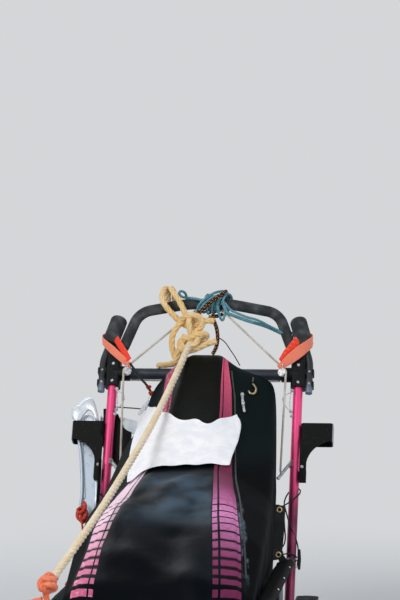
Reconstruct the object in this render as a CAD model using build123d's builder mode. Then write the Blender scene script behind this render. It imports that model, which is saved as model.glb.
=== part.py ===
"""Racing dog sled: aluminium frame on upturned runners, laced cargo bag, handlebar and foot brake."""
import os
from math import cos, radians, sin, sqrt, tan

from build123d import *

# Driving dimensions in millimetres.
# The front is -Y, up is +Z and the floor under the runner soles is Z = 0.
# Nodes that end in _l are on the -X side and nodes that end in _r are on the +X side.
track = 526.0             # between the centres of the two runners
tail_y = 1050.0           # rear end of the runners
flat_front_y = -520.0     # where the runners start to turn up
upturn_radius = 360.0     # of the sole's underside
upturn_deg = 62.0         # slope of the runner tips
tip_run = 62.0            # straight length of the tips
sole_w, sole_h = 38.0, 12.0
runner_w, runner_h = 30.0, 30.0
runner_groove = 3.0       # depth of the slot along each side of the runner

stanchion_d, stanchion_wall = 27.0, 2.0
stanchion_foot_y = 156.0  # where the stanchion's axis meets the top of the runner
stanchion_lean = 0.60     # backward travel for each millimetre of height
foot_len, foot_t, foot_boss = 96.0, 6.0, 52.0
socket_gap = 0.15         # between a tube and the socket that holds it
crossbar_z, crossbar_d = 745.0, 32.0
joint_w, joint_depth = 42.0, 39.0    # across the sled and along it
joint_drop, joint_rise = 37.0, 66.0  # how far the joint reaches below and above the crossbar
joint_arm = 48.0          # reach of the joint's socket for the crossbar
joint_round = 9.0
joint_wall = 5.0
lug_w, lug_t, lug_edge = 26.0, 16.0, 3.0  # the joint's two lugs that grip the horn
foam_gap = 5.0            # from the joint's top to the handlebar's foam

grip_y, grip_z = 675.0, 938.0  # middle of the handlebar
handlebar_d, foam_d = 19.0, 31.0
bar_flat_x = 60.0         # half of the level middle of the handlebar
shoulder_x = 200.0
shoulder_fore, shoulder_drop = 7.0, 25.0  # from the handlebar's middle to its shoulders
shoulder_bend, middle_bend = 60.0, 300.0
bow_leg_x = 251.0
bow_leg_rise = 44.0       # of the legs' feet above the crossbar
bow_leg_back = 9.0        # the handlebar's legs stand this far behind the stanchions' line
horn_d, horn_x = 20.0, 294.0
horn_drop, horn_rise = 48.0, 35.0  # of the horn's foot and bend from the crossbar
horn_bend = 120.0
horn_front = 10.0         # the horns stand this far in front of the stanchions' line
side_grip_d, side_grip_len, side_grip_rise = 48.0, 73.0, 80.0
side_grip_x = 254.0       # of the grip's upper end
side_grip_cap = 18.0      # foam above the horn's end
side_grip_dome, cap_spot_d, cap_spot_depth = 13.0, 12.0, 2.5

rail_d, rail_rear_z, rail_front_y = 22.0, 262.0, -640.0
post_d, front_post_y, mid_post_y = 20.0, -430.0, -110.0
post_lean = 40.0          # how far a post's top is in front of its foot
tube_d = 25.0             # cross tubes under the bed
bed_top, bed_t, bed_w, bed_front_y, bed_rear_y = 150.0, 6.0, 450.0, -728.0, 196.0
nose_tube_y = -680.0
eye_hole_r, eye_t, eye_reach = 7.0, 8.0, 42.0

bow_d, bow_front_y = 26.0, -1037.0
bow_rise = 38.5           # of the brush bow's front above the runner tips' upper edge
bow_lift = 30.0           # of the brush bow's front above the rails' front ends
bow_corner_y, bow_flat_w, bow_bend = -915.0, 300.0, 140.0
bow_sleeve = 60.0         # how far the brush bow's arms reach back over the rails
bow_sleeve_d = 32.0

pad_w, pad_t, pad_front_y, pad_rear_y = 66.0, 6.0, 330.0, 1000.0
pad_rib_pitch, pad_rib_w, pad_rib_h = 18.0, 7.0, 3.0

pivot_y, pivot_z, pivot_pin_d = 292.0, 96.0, 8.0
brake_arm_x, brake_rear_y, brake_rear_z, brake_d = 150.0, 650.0, 112.0, 22.0
ear_t, ear_gap = 5.0, 1.0
claw_x, claw_tip_z, claw_w, claw_t = 92.0, 28.0, 26.0, 8.0

holder_reach = 367.0      # outermost point of the hook holders
holder_z, holder_band, holder_depth, holder_wall = 586.0, 54.0, 44.0, 4.0
holder_round = 9.0
holder_strip_w, holder_strip_low = 19.0, 147.0  # the holder's lower strip, down from the band's middle
holder_curve_low = 92.0   # where the front sheet's curve runs into the strip
holder_pad_h = 34.0       # of the block that bolts the strip to the stanchion
cheek_reach = 44.0        # of the -X holder's rear sheet, inboard of the stanchion's axis
hook_t, hook_rim_t, hook_rim_w, hook_groove = 4.0, 3.0, 11.0, 5.0
hook_seat = 0.3
hook_back = 6.0           # the hook's plate stands this far behind the middle of the holder
claw_back = 28.0          # and its claw this far

sheave_d, sheave_x, sheave_rise = 16.0, 219.0, 10.0
sheave_fore = 42.0        # of the sheave in front of the stanchions' line
cheek_d, cheek_t = 22.0, 1.8
pulley_pin_d = 3.0
strap_d = 2.4             # of the pulley's two straps
lift_cord_d, hanger_len = 6.0, 23.0
sling_w, sling_t = 22.0, 2.2
clip_z, clip_x = 508.0, 224.0
clip_h, clip_wall = 16.0, 3.0
lever_d = 9.0

bag_gap = 0.3
bag_rear_gap = 22.0       # from the stanchions' axis forward to the bag's rear wall

# Derived frame values.
half_track = track / 2
deck_z = sole_h + runner_h
stanchion_dir = (0, stanchion_lean, 1)
sides = (("l", -1), ("r", 1))
stanchion_top_z = crossbar_z + joint_drop
joint_low_z, joint_high_z = crossbar_z - joint_drop, crossbar_z + joint_rise
horn_low_z, horn_bend_z = crossbar_z - horn_drop, crossbar_z + horn_rise
side_grip_low_z = crossbar_z + side_grip_rise
side_grip_high_z = side_grip_low_z + side_grip_len
bow_leg_z = crossbar_z + bow_leg_rise
shoulder_y, shoulder_z = grip_y - shoulder_fore, grip_z - shoulder_drop
tip_turn = radians(upturn_deg)
sole_tip = (
    flat_front_y - upturn_radius * sin(tip_turn) - tip_run * cos(tip_turn),
    upturn_radius * (1 - cos(tip_turn)) + tip_run * sin(tip_turn),
)
top_tip = (sole_tip[0] + deck_z * sin(tip_turn), sole_tip[1] + deck_z * cos(tip_turn))
bow_z = top_tip[1] + bow_rise
rail_front_z = bow_z - bow_lift


def stanchion_y(z):
    """Distance back of the stanchion's axis at height z."""
    return stanchion_foot_y + (z - deck_z) * stanchion_lean


def runner_top(y):
    """Height of the runner's top surface at distance y, on its flat or its upturn."""
    inner = upturn_radius - deck_z
    ahead = max(0.0, flat_front_y - y)
    return deck_z + inner - sqrt(inner ** 2 - ahead ** 2)


def keep(piece, node):
    """Label a finished piece with its node's name and write it."""
    piece.part.label = node
    export_step(piece.part, f"parts/{node}.step")


def rod(points, diameter, bends=None, wall=0.0):
    """Round bar or tube along straight runs joined by tangent arcs."""
    with BuildPart() as piece:
        with BuildLine():
            route = FilletPolyline(*points, radius=bends) if bends else Polyline(*points)
        with BuildSketch(Plane(origin=route @ 0, z_dir=route % 0)):
            Circle(diameter / 2)
            if wall:
                Circle(diameter / 2 - wall, mode=Mode.SUBTRACT)
        sweep()
    return piece


def between(start, end, diameter, mode=Mode.ADD):
    """Round bar from start to end, added to or cut from the piece being built."""
    run = Vector(*end) - Vector(*start)
    with Locations(Plane(origin=start, z_dir=run)):
        Cylinder(diameter / 2, run.length, align=(Align.CENTER, Align.CENTER, Align.MIN), mode=mode)


def route_bends(points):
    """Arc radius at each inner corner of a cord: 0.45 of the shorter run over tan(half turn)."""
    radii = []
    for before, here, after in zip(points, points[1:], points[2:]):
        run_in = Vector(*here) - Vector(*before)
        run_out = Vector(*after) - Vector(*here)
        half_turn = radians(run_in.get_angle(run_out)) / 2
        radii.append(0.45 * min(run_in.length, run_out.length) / tan(half_turn))
    return radii


os.makedirs("parts", exist_ok=True)

# Runners: a plastic sole under a slotted aluminium profile, flat to the tails, turned up in front.
for name, side in sides:
    x = side * half_track
    for node, height, width, middle in (
        ("shoe", sole_h, sole_w, sole_h / 2),
        ("runner", runner_h, runner_w, sole_h + runner_h / 2),
    ):
        radius = upturn_radius - middle
        rise = radius * (1 - cos(radians(upturn_deg)))
        with BuildPart() as piece:
            with BuildLine():
                Line((x, tail_y, middle), (x, flat_front_y, middle))
                turn = TangentArc(
                    (x, flat_front_y, middle),
                    (x, flat_front_y - radius * sin(radians(upturn_deg)), middle + rise),
                    tangent=(0, -1, 0),
                )
                Line(turn @ 1, turn @ 1 + (turn % 1) * tip_run)
            start = Plane(origin=(x, tail_y, middle), x_dir=(1, 0, 0), z_dir=(0, -1, 0))
            with BuildSketch(start):
                Rectangle(width, height)
                if node == "runner":
                    with GridLocations(runner_w, 0, 2, 1):
                        Rectangle(runner_groove * 2, runner_h / 3, mode=Mode.SUBTRACT)
            sweep()
        keep(piece, f"{node}_{name}")

# Footboards: ribbed rubber pads on the rear of the runners.
for name, side in sides:
    middle_y = (pad_front_y + pad_rear_y) / 2
    ribs = int((pad_rear_y - pad_front_y) / pad_rib_pitch) - 1
    with BuildPart() as pad:
        with BuildSketch(Plane.XY.offset(deck_z)):
            with Locations((side * half_track, middle_y)):
                RectangleRounded(pad_w, pad_rear_y - pad_front_y, 12)
        extrude(amount=pad_t)
        with BuildSketch(Plane.XY.offset(deck_z + pad_t)):
            with Locations((side * half_track, middle_y)):
                with GridLocations(0, pad_rib_pitch, 1, ribs):
                    Rectangle(pad_w - 10, pad_rib_w)
        extrude(amount=pad_rib_h)
    keep(pad, f"footboard_{name}")

# Stanchions: anodised tubes that lean back from the runners to the corner joints.
foot_axis_z = deck_z + foot_t + stanchion_d / 2 * sin(radians(31)) + 0.5
for name, side in sides:
    x = side * half_track
    foot = (x, stanchion_y(foot_axis_z), foot_axis_z)
    top = (x, stanchion_y(stanchion_top_z), stanchion_top_z)
    keep(rod((foot, top), stanchion_d, wall=stanchion_wall), f"stanchion_{name}")

    with BuildPart() as socket:
        with BuildSketch(Plane.XY.offset(deck_z)):
            with Locations((x, stanchion_foot_y + 12)):
                SlotOverall(foot_len, runner_w, rotation=90)
        extrude(amount=foot_t)
        low = (x, stanchion_y(deck_z - 20), deck_z - 20)
        with BuildSketch(Plane(origin=low, z_dir=stanchion_dir)):
            Circle(stanchion_d / 2 + 4)
        extrude(amount=foot_boss + 24)
        split(bisect_by=Plane.XY.offset(deck_z), keep=Keep.TOP)
        between(foot, top, stanchion_d + 2 * socket_gap, Mode.SUBTRACT)
    keep(socket, f"stanchion_foot_{name}")

# Top crossbar and the handlebar, which springs from the corner joints as one low arch.
crossbar_y = stanchion_y(crossbar_z)
crossbar_end = half_track - stanchion_d / 2 - 1.5
keep(
    rod(((-crossbar_end, crossbar_y, crossbar_z), (crossbar_end, crossbar_y, crossbar_z)), crossbar_d),
    "top_crossbar",
)


def arch(leg_x, leg_y, leg_z):
    """Corner points of the handlebar's arch between two feet at the given place."""
    half = [(leg_x, leg_y, leg_z), (shoulder_x, shoulder_y, shoulder_z), (bar_flat_x, grip_y, grip_z)]
    return half + [(-x, y, z) for x, y, z in reversed(half)]


leg_foot_y = stanchion_y(bow_leg_z) + bow_leg_back
foam_low_z = joint_high_z + foam_gap
leg_share = (foam_low_z - bow_leg_z) / (shoulder_z - bow_leg_z)
foam_foot = (
    bow_leg_x + (shoulder_x - bow_leg_x) * leg_share,
    leg_foot_y + (shoulder_y - leg_foot_y) * leg_share,
    foam_low_z,
)
arch_bends = [shoulder_bend, middle_bend, middle_bend, shoulder_bend]
keep(rod(arch(bow_leg_x, leg_foot_y, bow_leg_z), handlebar_d, arch_bends), "handlebar")
keep(
    rod(arch(*foam_foot), foam_d, arch_bends, wall=(foam_d - handlebar_d) / 2 - socket_gap),
    "handlebar_grip",
)


def horn_at(side, z):
    """Point on a horn's axis at height z: upright below its bend, leaning inward above it."""
    slope = (horn_x - side_grip_x) / (side_grip_high_z - horn_bend_z)
    inward = slope * max(0.0, z - horn_bend_z)
    return (side * (horn_x - inward), stanchion_y(z) - horn_front, z)


# Horns: short tubes beside the corner joints that carry the thick side grips.
for name, side in sides:
    horn_low, horn_turn = horn_at(side, horn_low_z), horn_at(side, horn_bend_z)
    horn_top = horn_at(side, side_grip_high_z - side_grip_cap)
    keep(rod((horn_low, horn_turn, horn_top), horn_d, [horn_bend]), f"horn_{name}")
    grip_low, grip_high = horn_at(side, side_grip_low_z), horn_at(side, side_grip_high_z)
    grip_dir = Vector(*grip_high) - Vector(*grip_low)
    with BuildPart() as grip:
        with BuildSketch(Plane(origin=grip_low, z_dir=grip_dir)):
            Circle(side_grip_d / 2)
        extrude(amount=grip_dir.length)
        fillet(grip.edges().filter_by(GeomType.CIRCLE).sort_by(Axis.Z)[-1], side_grip_dome)
        fillet(grip.edges().filter_by(GeomType.CIRCLE).sort_by(Axis.Z)[0], 3)
        between(grip_low, horn_top, horn_d + 2 * socket_gap, Mode.SUBTRACT)
        with BuildSketch(Plane(origin=grip_high, z_dir=grip_dir)):
            Circle(cap_spot_d / 2)
        extrude(amount=-cap_spot_depth, mode=Mode.SUBTRACT)
    keep(grip, f"side_grip_{name}")

    # Corner joint: one moulding that takes stanchion, crossbar, handlebar leg and horn.
    low = (side * half_track, stanchion_y(joint_low_z), joint_low_z)
    leg = Vector(side * bow_leg_x, leg_foot_y, bow_leg_z)
    leg_up = Vector(side * foam_foot[0], foam_foot[1], foam_foot[2])
    hole_low = horn_at(side, horn_low_z - lug_t)
    horn_hole = rod((hole_low, horn_turn, horn_top), horn_d + 2 * socket_gap, [horn_bend])
    with BuildPart() as joint:
        with BuildSketch(Plane(origin=low, x_dir=(1, 0, 0), z_dir=stanchion_dir)):
            RectangleRounded(joint_w, joint_depth, joint_round)
        extrude(amount=(joint_high_z + joint_depth - joint_low_z) * sqrt(1 + stanchion_lean ** 2))
        bar_mid = (side * half_track, crossbar_y, crossbar_z)
        between(bar_mid, (side * (half_track - joint_arm), crossbar_y, crossbar_z),
                crossbar_d + 2 * joint_wall)
        between(leg - (leg_up - leg) * 0.2, leg + (leg_up - leg) * 1.6, handlebar_d + 2 * joint_wall)
        lug_reach = horn_x + horn_d / 2 + lug_edge
        for lug_z in (joint_low_z + lug_t / 2, horn_bend_z - 2 * lug_t):
            lug_plane = Plane(origin=(0, stanchion_y(lug_z), lug_z), x_dir=(1, 0, 0), z_dir=stanchion_dir)
            with BuildSketch(lug_plane):
                with Locations((side * (half_track + lug_reach) / 2, -lug_edge)):
                    RectangleRounded(lug_reach - half_track, lug_w, lug_edge)
            extrude(amount=lug_t / 2, both=True)
        joint_top = Plane(origin=(0, stanchion_y(joint_high_z), joint_high_z), z_dir=stanchion_dir)
        split(bisect_by=joint_top, keep=Keep.BOTTOM)
        between(low, (side * half_track, stanchion_y(stanchion_top_z), stanchion_top_z),
                stanchion_d + 2 * socket_gap, Mode.SUBTRACT)
        between((side * crossbar_end, crossbar_y, crossbar_z), (0, crossbar_y, crossbar_z),
                crossbar_d + 2 * socket_gap, Mode.SUBTRACT)
        between(leg, leg + (leg_up - leg) * 2, handlebar_d + 2 * socket_gap, Mode.SUBTRACT)
        add(horn_hole.part, mode=Mode.SUBTRACT)
    keep(joint, f"corner_joint_{name}")

# Side rails, from the stanchions to the brush bow, and the posts that carry them.
rail_rear_y = stanchion_y(rail_rear_z)


def rail_z(y):
    """Height of the side rails' axis at distance y."""
    return rail_rear_z + (rail_rear_y - y) / (rail_rear_y - rail_front_y) * (rail_front_z - rail_rear_z)


def post_y(foot_y, z):
    """Distance of a rail post's axis at height z; its top stands in front of its foot."""
    return foot_y - post_lean * (z - deck_z) / (rail_front_z - deck_z)


for name, side in sides:
    x = side * half_track
    rail_start = (x, rail_rear_y, rail_rear_z)
    rail_end = (x, rail_front_y, rail_front_z)
    with BuildPart() as rail:
        between(rail_start, rail_end, rail_d)
        between((x, stanchion_y(rail_rear_z - 60), rail_rear_z - 60),
                (x, stanchion_y(rail_rear_z + 60), rail_rear_z + 60),
                stanchion_d + 2 * socket_gap, Mode.SUBTRACT)
    keep(rail, f"side_rail_{name}")

    with BuildPart() as posts:
        for foot_y in (front_post_y, mid_post_y):
            between((x, post_y(foot_y, deck_z - 22), deck_z - 22),
                    (x, post_y(foot_y, rail_rear_z), rail_rear_z), post_d)
        split(bisect_by=Plane.XY.offset(deck_z), keep=Keep.TOP)
        for foot_y in (front_post_y, mid_post_y):
            with BuildSketch(Plane.XY.offset(deck_z)):
                with Locations((x, foot_y)):
                    SlotOverall(62, runner_w, rotation=90)
            extrude(amount=4)
        between((x, rail_rear_y, rail_rear_z), (x, rail_front_y, rail_front_z),
                rail_d + 2 * socket_gap, Mode.SUBTRACT)
    keep(posts, f"rail_posts_{name}")

# Cross tubes under the bed, coped to the posts and stanchions, and the nose tube with its two feet.
tube_z = bed_top - bed_t - tube_d / 2
post_slope = -post_lean / (rail_front_z - deck_z)
for node, y, end_d, lean in (
    ("cross_tube_front", post_y(front_post_y, tube_z), post_d, post_slope),
    ("cross_tube_mid", post_y(mid_post_y, tube_z), post_d, post_slope),
    ("cross_tube_rear", stanchion_y(tube_z), stanchion_d, stanchion_lean),
):
    with BuildPart() as tube:
        reach = half_track - end_d / 2 + 3
        between((-reach, y, tube_z), (reach, y, tube_z), tube_d)
        for _, side in sides:
            between((side * half_track, y - 40 * lean, tube_z - 40),
                    (side * half_track, y + 40 * lean, tube_z + 40),
                    end_d + 2 * socket_gap, Mode.SUBTRACT)
    keep(tube, node)

with BuildPart() as nose:
    between((-half_track, nose_tube_y, tube_z), (half_track, nose_tube_y, tube_z), tube_d)
    for _, side in sides:
        with BuildSketch(Plane.XY.offset(runner_top(nose_tube_y + 14) - 30)):
            with Locations((side * half_track, nose_tube_y)):
                Rectangle(runner_w, tube_d)
        extrude(amount=tube_z - runner_top(nose_tube_y + 14) + 30)
    # The feet are cut to the runners' upturn.
    with BuildSketch(Plane.YZ.offset(-half_track - runner_w)):
        with Locations((flat_front_y, upturn_radius)):
            Circle(upturn_radius + 60)
            Circle(upturn_radius - deck_z - 0.1, mode=Mode.SUBTRACT)
    extrude(amount=track + 2 * runner_w, mode=Mode.SUBTRACT)
    # Tow eye in the middle.
    with BuildSketch(Plane.YZ.offset(-eye_t / 2)):
        with BuildLine():
            hole_y, hole_z = nose_tube_y - eye_reach, tube_z - 6
            Line((nose_tube_y, tube_z + 9), (hole_y, hole_z + 15))
            ThreePointArc((hole_y, hole_z + 15), (hole_y - 15, hole_z), (hole_y, hole_z - 15))
            Line((hole_y, hole_z - 15), (nose_tube_y, tube_z - 11))
            Line((nose_tube_y, tube_z - 11), (nose_tube_y, tube_z + 9))
        make_face()
        with Locations((hole_y, hole_z)):
            Circle(eye_hole_r, mode=Mode.SUBTRACT)
    extrude(amount=eye_t)
keep(nose, "nose_tube")

# Bed: a plastic sheet on the cross tubes, with drain slots.
with BuildPart() as bed:
    with BuildSketch(Plane.XY.offset(bed_top - bed_t)):
        with Locations((0, (bed_front_y + bed_rear_y) / 2)):
            RectangleRounded(bed_w, bed_rear_y - bed_front_y, 40)
            with GridLocations(110, 150, 3, 5):
                SlotOverall(80, 16, rotation=90, mode=Mode.SUBTRACT)
    extrude(amount=bed_t)
keep(bed, "bed_sheet")

# Brush bow: a plastic bar round the front, sleeved over the rails' ends and seated on the runner tips.
bow_points = [
    (half_track, rail_front_y, rail_front_z),
    (half_track, bow_corner_y, bow_z - 4),
    (bow_flat_w / 2, bow_front_y, bow_z),
]
bow_points += [(-x, y, z) for x, y, z in reversed(bow_points)]
bow_bar = rod(bow_points, bow_d, [bow_bend] * 4)
with BuildPart() as bow:
    add(bow_bar.part)
    for _, side in sides:
        sleeve_y = rail_front_y + bow_sleeve
        between((side * half_track, rail_front_y - 25, rail_front_z + 2.5),
                (side * half_track, sleeve_y, rail_z(sleeve_y)), bow_sleeve_d)
        between((side * half_track, sleeve_y + 10, rail_z(sleeve_y + 10)),
                (side * half_track, rail_front_y, rail_front_z), rail_d + 2 * socket_gap, Mode.SUBTRACT)
keep(bow, "brush_bow")

# Saddles between the runner tips and the brush bow.
bow_slope = (bow_z - 4 - rail_front_z) / (rail_front_y - bow_corner_y)


def bow_axis_z(y):
    """Height of the brush bow's arms at distance y."""
    return rail_front_z + (rail_front_y - y) * bow_slope


for name, side in sides:
    with BuildPart() as saddle:
        with BuildSketch(Plane.YZ.offset(side * half_track)):
            with BuildLine():
                Polyline(
                    (sole_tip[0] + 8, sole_tip[1] + 4.3),
                    top_tip,
                    (top_tip[0], bow_axis_z(top_tip[0]) - 8),
                    (sole_tip[0] + 4, bow_axis_z(sole_tip[0] + 4) - 8),
                    close=True,
                )
            make_face()
        extrude(amount=11, both=True)
        between((side * half_track, rail_front_y, rail_front_z),
                (side * half_track, bow_corner_y, bow_z - 4), bow_d + 2 * socket_gap, Mode.SUBTRACT)
    keep(saddle, f"bow_saddle_{name}")

# Foot brake: a bent tube hinged behind the bed, with two steel claws that dig in when it is pressed.
arm_points = [
    (brake_arm_x, pivot_y, pivot_z),
    (brake_arm_x, brake_rear_y, brake_rear_z),
    (-brake_arm_x, brake_rear_y, brake_rear_z),
    (-brake_arm_x, pivot_y, pivot_z),
]
brake_bar = rod(arm_points, brake_d, [45, 45])
with BuildPart() as brake:
    add(brake_bar.part)
    for _, side in sides:
        with BuildSketch(Plane.YZ.offset(side * brake_arm_x)):
            with Locations((pivot_y, pivot_z)):
                Circle(brake_d / 2 + 1)
        extrude(amount=brake_d / 2, both=True)
        between((side * (brake_arm_x - brake_d), pivot_y, pivot_z),
                (side * (brake_arm_x + brake_d), pivot_y, pivot_z),
                pivot_pin_d + 0.1, Mode.SUBTRACT)
keep(brake, "brake_bow")

for name, side in sides:
    x = side * claw_x
    with BuildPart() as claw:
        with BuildSketch(Plane.YZ.offset(x)):
            with BuildLine():
                back = brake_rear_y + brake_d / 2 + 6
                Polyline(
                    (back, brake_rear_z + brake_d / 2 + 4),
                    (brake_rear_y - brake_d / 2 - 6, brake_rear_z + brake_d / 2 + 4),
                    (brake_rear_y - brake_d / 2 - 6, brake_rear_z - 6),
                    (brake_rear_y - 4, brake_rear_z - 40),
                    (brake_rear_y - 14, claw_tip_z),
                    (brake_rear_y + 12, brake_rear_z - 44),
                    (back, brake_rear_z - 10),
                    close=True,
                )
            make_face()
            with Locations((brake_rear_y, brake_rear_z)):
                Circle(brake_d / 2 + socket_gap, mode=Mode.SUBTRACT)
        extrude(amount=claw_t / 2, both=True)
    keep(claw, f"brake_claw_{name}")

# Brake brackets: two ears on each side of an arm, fused to a saddle under the rear cross tube.
rear_tube_y = stanchion_y(tube_z)
for name, side in sides:
    x = side * brake_arm_x
    ear_x = brake_d / 2 + ear_gap + ear_t / 2
    with BuildPart() as bracket:
        for ear in (-1, 1):
            with BuildSketch(Plane.YZ.offset(x + ear * ear_x)):
                with BuildLine():
                    Line((pivot_y, pivot_z + 15), (rear_tube_y, tube_z + 4))
                    Line((rear_tube_y, tube_z + 4), (rear_tube_y - 20, tube_z - 10))
                    Line((rear_tube_y - 20, tube_z - 10), (rear_tube_y, tube_z - 24))
                    Line((rear_tube_y, tube_z - 24), (pivot_y, pivot_z - 15))
                    ThreePointArc((pivot_y, pivot_z - 15), (pivot_y + 15, pivot_z), (pivot_y, pivot_z + 15))
                make_face()
            extrude(amount=ear_t / 2, both=True)
        between((x - ear_x - ear_t / 2, pivot_y, pivot_z), (x + ear_x + ear_t / 2, pivot_y, pivot_z),
                pivot_pin_d)
        between((x - ear_x - ear_t / 2, rear_tube_y, tube_z), (x + ear_x + ear_t / 2, rear_tube_y, tube_z),
                tube_d + 8)
        split(bisect_by=Plane.XY.offset(bed_top - bed_t - 0.3), keep=Keep.BOTTOM)
        between((x - 60, rear_tube_y, tube_z), (x + 60, rear_tube_y, tube_z), tube_d + 2 * socket_gap,
                Mode.SUBTRACT)
    keep(bracket, f"brake_bracket_{name}")

# Lift lines: grey cords from the handlebar over two sheaves to the levers on the stanchions.
lift_runs = {}
sheave_z = crossbar_z + sheave_rise
for name, side in sides:
    sheave_at = Vector(side * sheave_x, stanchion_y(sheave_z) - sheave_fore, sheave_z)
    line_top = Vector(side * 38, grip_y - 7, grip_z - foam_d / 2 - 2)
    line_end = Vector(side * clip_x, stanchion_y(clip_z) - 18, clip_z - 14)
    turn_axis = (line_top - sheave_at).cross(line_end - sheave_at).normalized()
    groove_r = sheave_d / 2 + lift_cord_d / 2
    apex = sheave_at
    for _ in range(6):
        inward = ((line_top - apex).normalized() + (line_end - apex).normalized()).normalized()
        half_turn = radians((apex - line_top).get_angle(line_end - apex)) / 2
        apex = sheave_at - inward * (groove_r / cos(half_turn))
    lift_runs[name] = (tuple(line_top), tuple(apex))
    keep(rod((tuple(line_top), tuple(apex), tuple(line_end)), lift_cord_d, [groove_r]),
         f"lift_line_{name}")

    # Pulley: a sheave between two cheeks, hung by two straps from its sling.
    upward = Vector(0, 0, 1) - turn_axis * turn_axis.Z
    hang = sheave_at + upward.normalized() * hanger_len
    cheek_off = lift_cord_d / 2 + cheek_t / 2 + socket_gap
    with BuildPart() as pulley:
        with BuildSketch(Plane(origin=sheave_at, z_dir=turn_axis)):
            Circle(sheave_d / 2 - 0.2)
        extrude(amount=lift_cord_d / 2, both=True)
        for cheek in (-1, 1):
            plate = sheave_at + turn_axis * (cheek * cheek_off)
            with BuildSketch(Plane(origin=plate, z_dir=turn_axis)):
                Circle(cheek_d / 2)
            extrude(amount=cheek_t / 2, both=True)
            strap_off = turn_axis * (cheek * (lift_cord_d / 2 + strap_d / 2 + 2 * socket_gap))
            between(sheave_at + strap_off, hang + strap_off, strap_d)
        pin_half = cheek_off + cheek_t
        for pin_at in (sheave_at, hang):
            between(pin_at - turn_axis * pin_half, pin_at + turn_axis * pin_half, pulley_pin_d)
    keep(pulley, f"pulley_{name}")

    # Sling: two webbing ribbons from a washer under the side grip, sewn together above the pulley.
    washer_low = Vector(*horn_at(side, side_grip_low_z - sling_t - 0.6))
    washer_dir = (Vector(*horn_at(side, side_grip_high_z)) - washer_low).normalized()
    washer_front = Vector(1, 0, 0).cross(washer_dir).normalized()
    with BuildPart() as sling:
        with BuildSketch(Plane(origin=washer_low, z_dir=washer_dir)):
            Circle(side_grip_d / 2 + sling_t)
            Circle(horn_d / 2 + 0.3, mode=Mode.SUBTRACT)
        extrude(amount=sling_t)
        ribbon_from = washer_low + washer_front * (side_grip_d / 2 + sling_t / 2 + 0.3)
        for outward, drop in ((0.25, 0), (-0.6, sling_t)):
            start = ribbon_from + Vector(side * outward * side_grip_d / 2, 0, 0)
            end = hang + Vector(side * sling_t, -sling_t / 2, sling_t * 1.5 + drop)
            run = end - start
            across = run.cross(Vector(0, -1, 0)).normalized()
            with BuildSketch(Plane(origin=start, x_dir=across, z_dir=run)):
                Rectangle(sling_w, sling_t)
            with BuildSketch(Plane(origin=end, x_dir=across, z_dir=run)):
                Rectangle(sling_w * 0.6, sling_t)
            loft()
    keep(sling, f"sling_{name}")

    # Lever that the line's lower end hooks on, on a half clamp inside the stanchion.
    x = side * half_track
    clip_y = stanchion_y(clip_z)
    lever_in = Vector(side * (half_track - stanchion_d / 2 - clip_wall / 2), clip_y - 4, clip_z + 2)
    lever_out = Vector(side * (clip_x - 6), clip_y - 14, clip_z - 36)
    with BuildPart() as clip:
        with BuildSketch(Plane(origin=(x, clip_y, clip_z), z_dir=stanchion_dir)):
            Circle(stanchion_d / 2 + clip_wall)
        extrude(amount=clip_h / 2, both=True)
        inner_side = Plane(origin=(side * (half_track - stanchion_d / 4), 0, 0), z_dir=(side, 0, 0))
        split(bisect_by=inner_side, keep=Keep.BOTTOM)
        between(lever_in, lever_out, lever_d)
        with Locations(tuple(lever_out)):
            Sphere(lever_d * 0.62)
        between((side * (clip_x + 2), clip_y - 12, clip_z - 28), tuple(line_end), lift_cord_d)
        line_dir = (apex - line_end).normalized()
        between(tuple(line_end - line_dir * 0.3), tuple(line_end + line_dir * 20), 14, Mode.SUBTRACT)
        between((x, stanchion_y(clip_z - 60), clip_z - 60), (x, stanchion_y(clip_z + 60), clip_z + 60),
                stanchion_d + 2 * socket_gap, Mode.SUBTRACT)
    keep(clip, f"line_lever_{name}")

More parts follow.
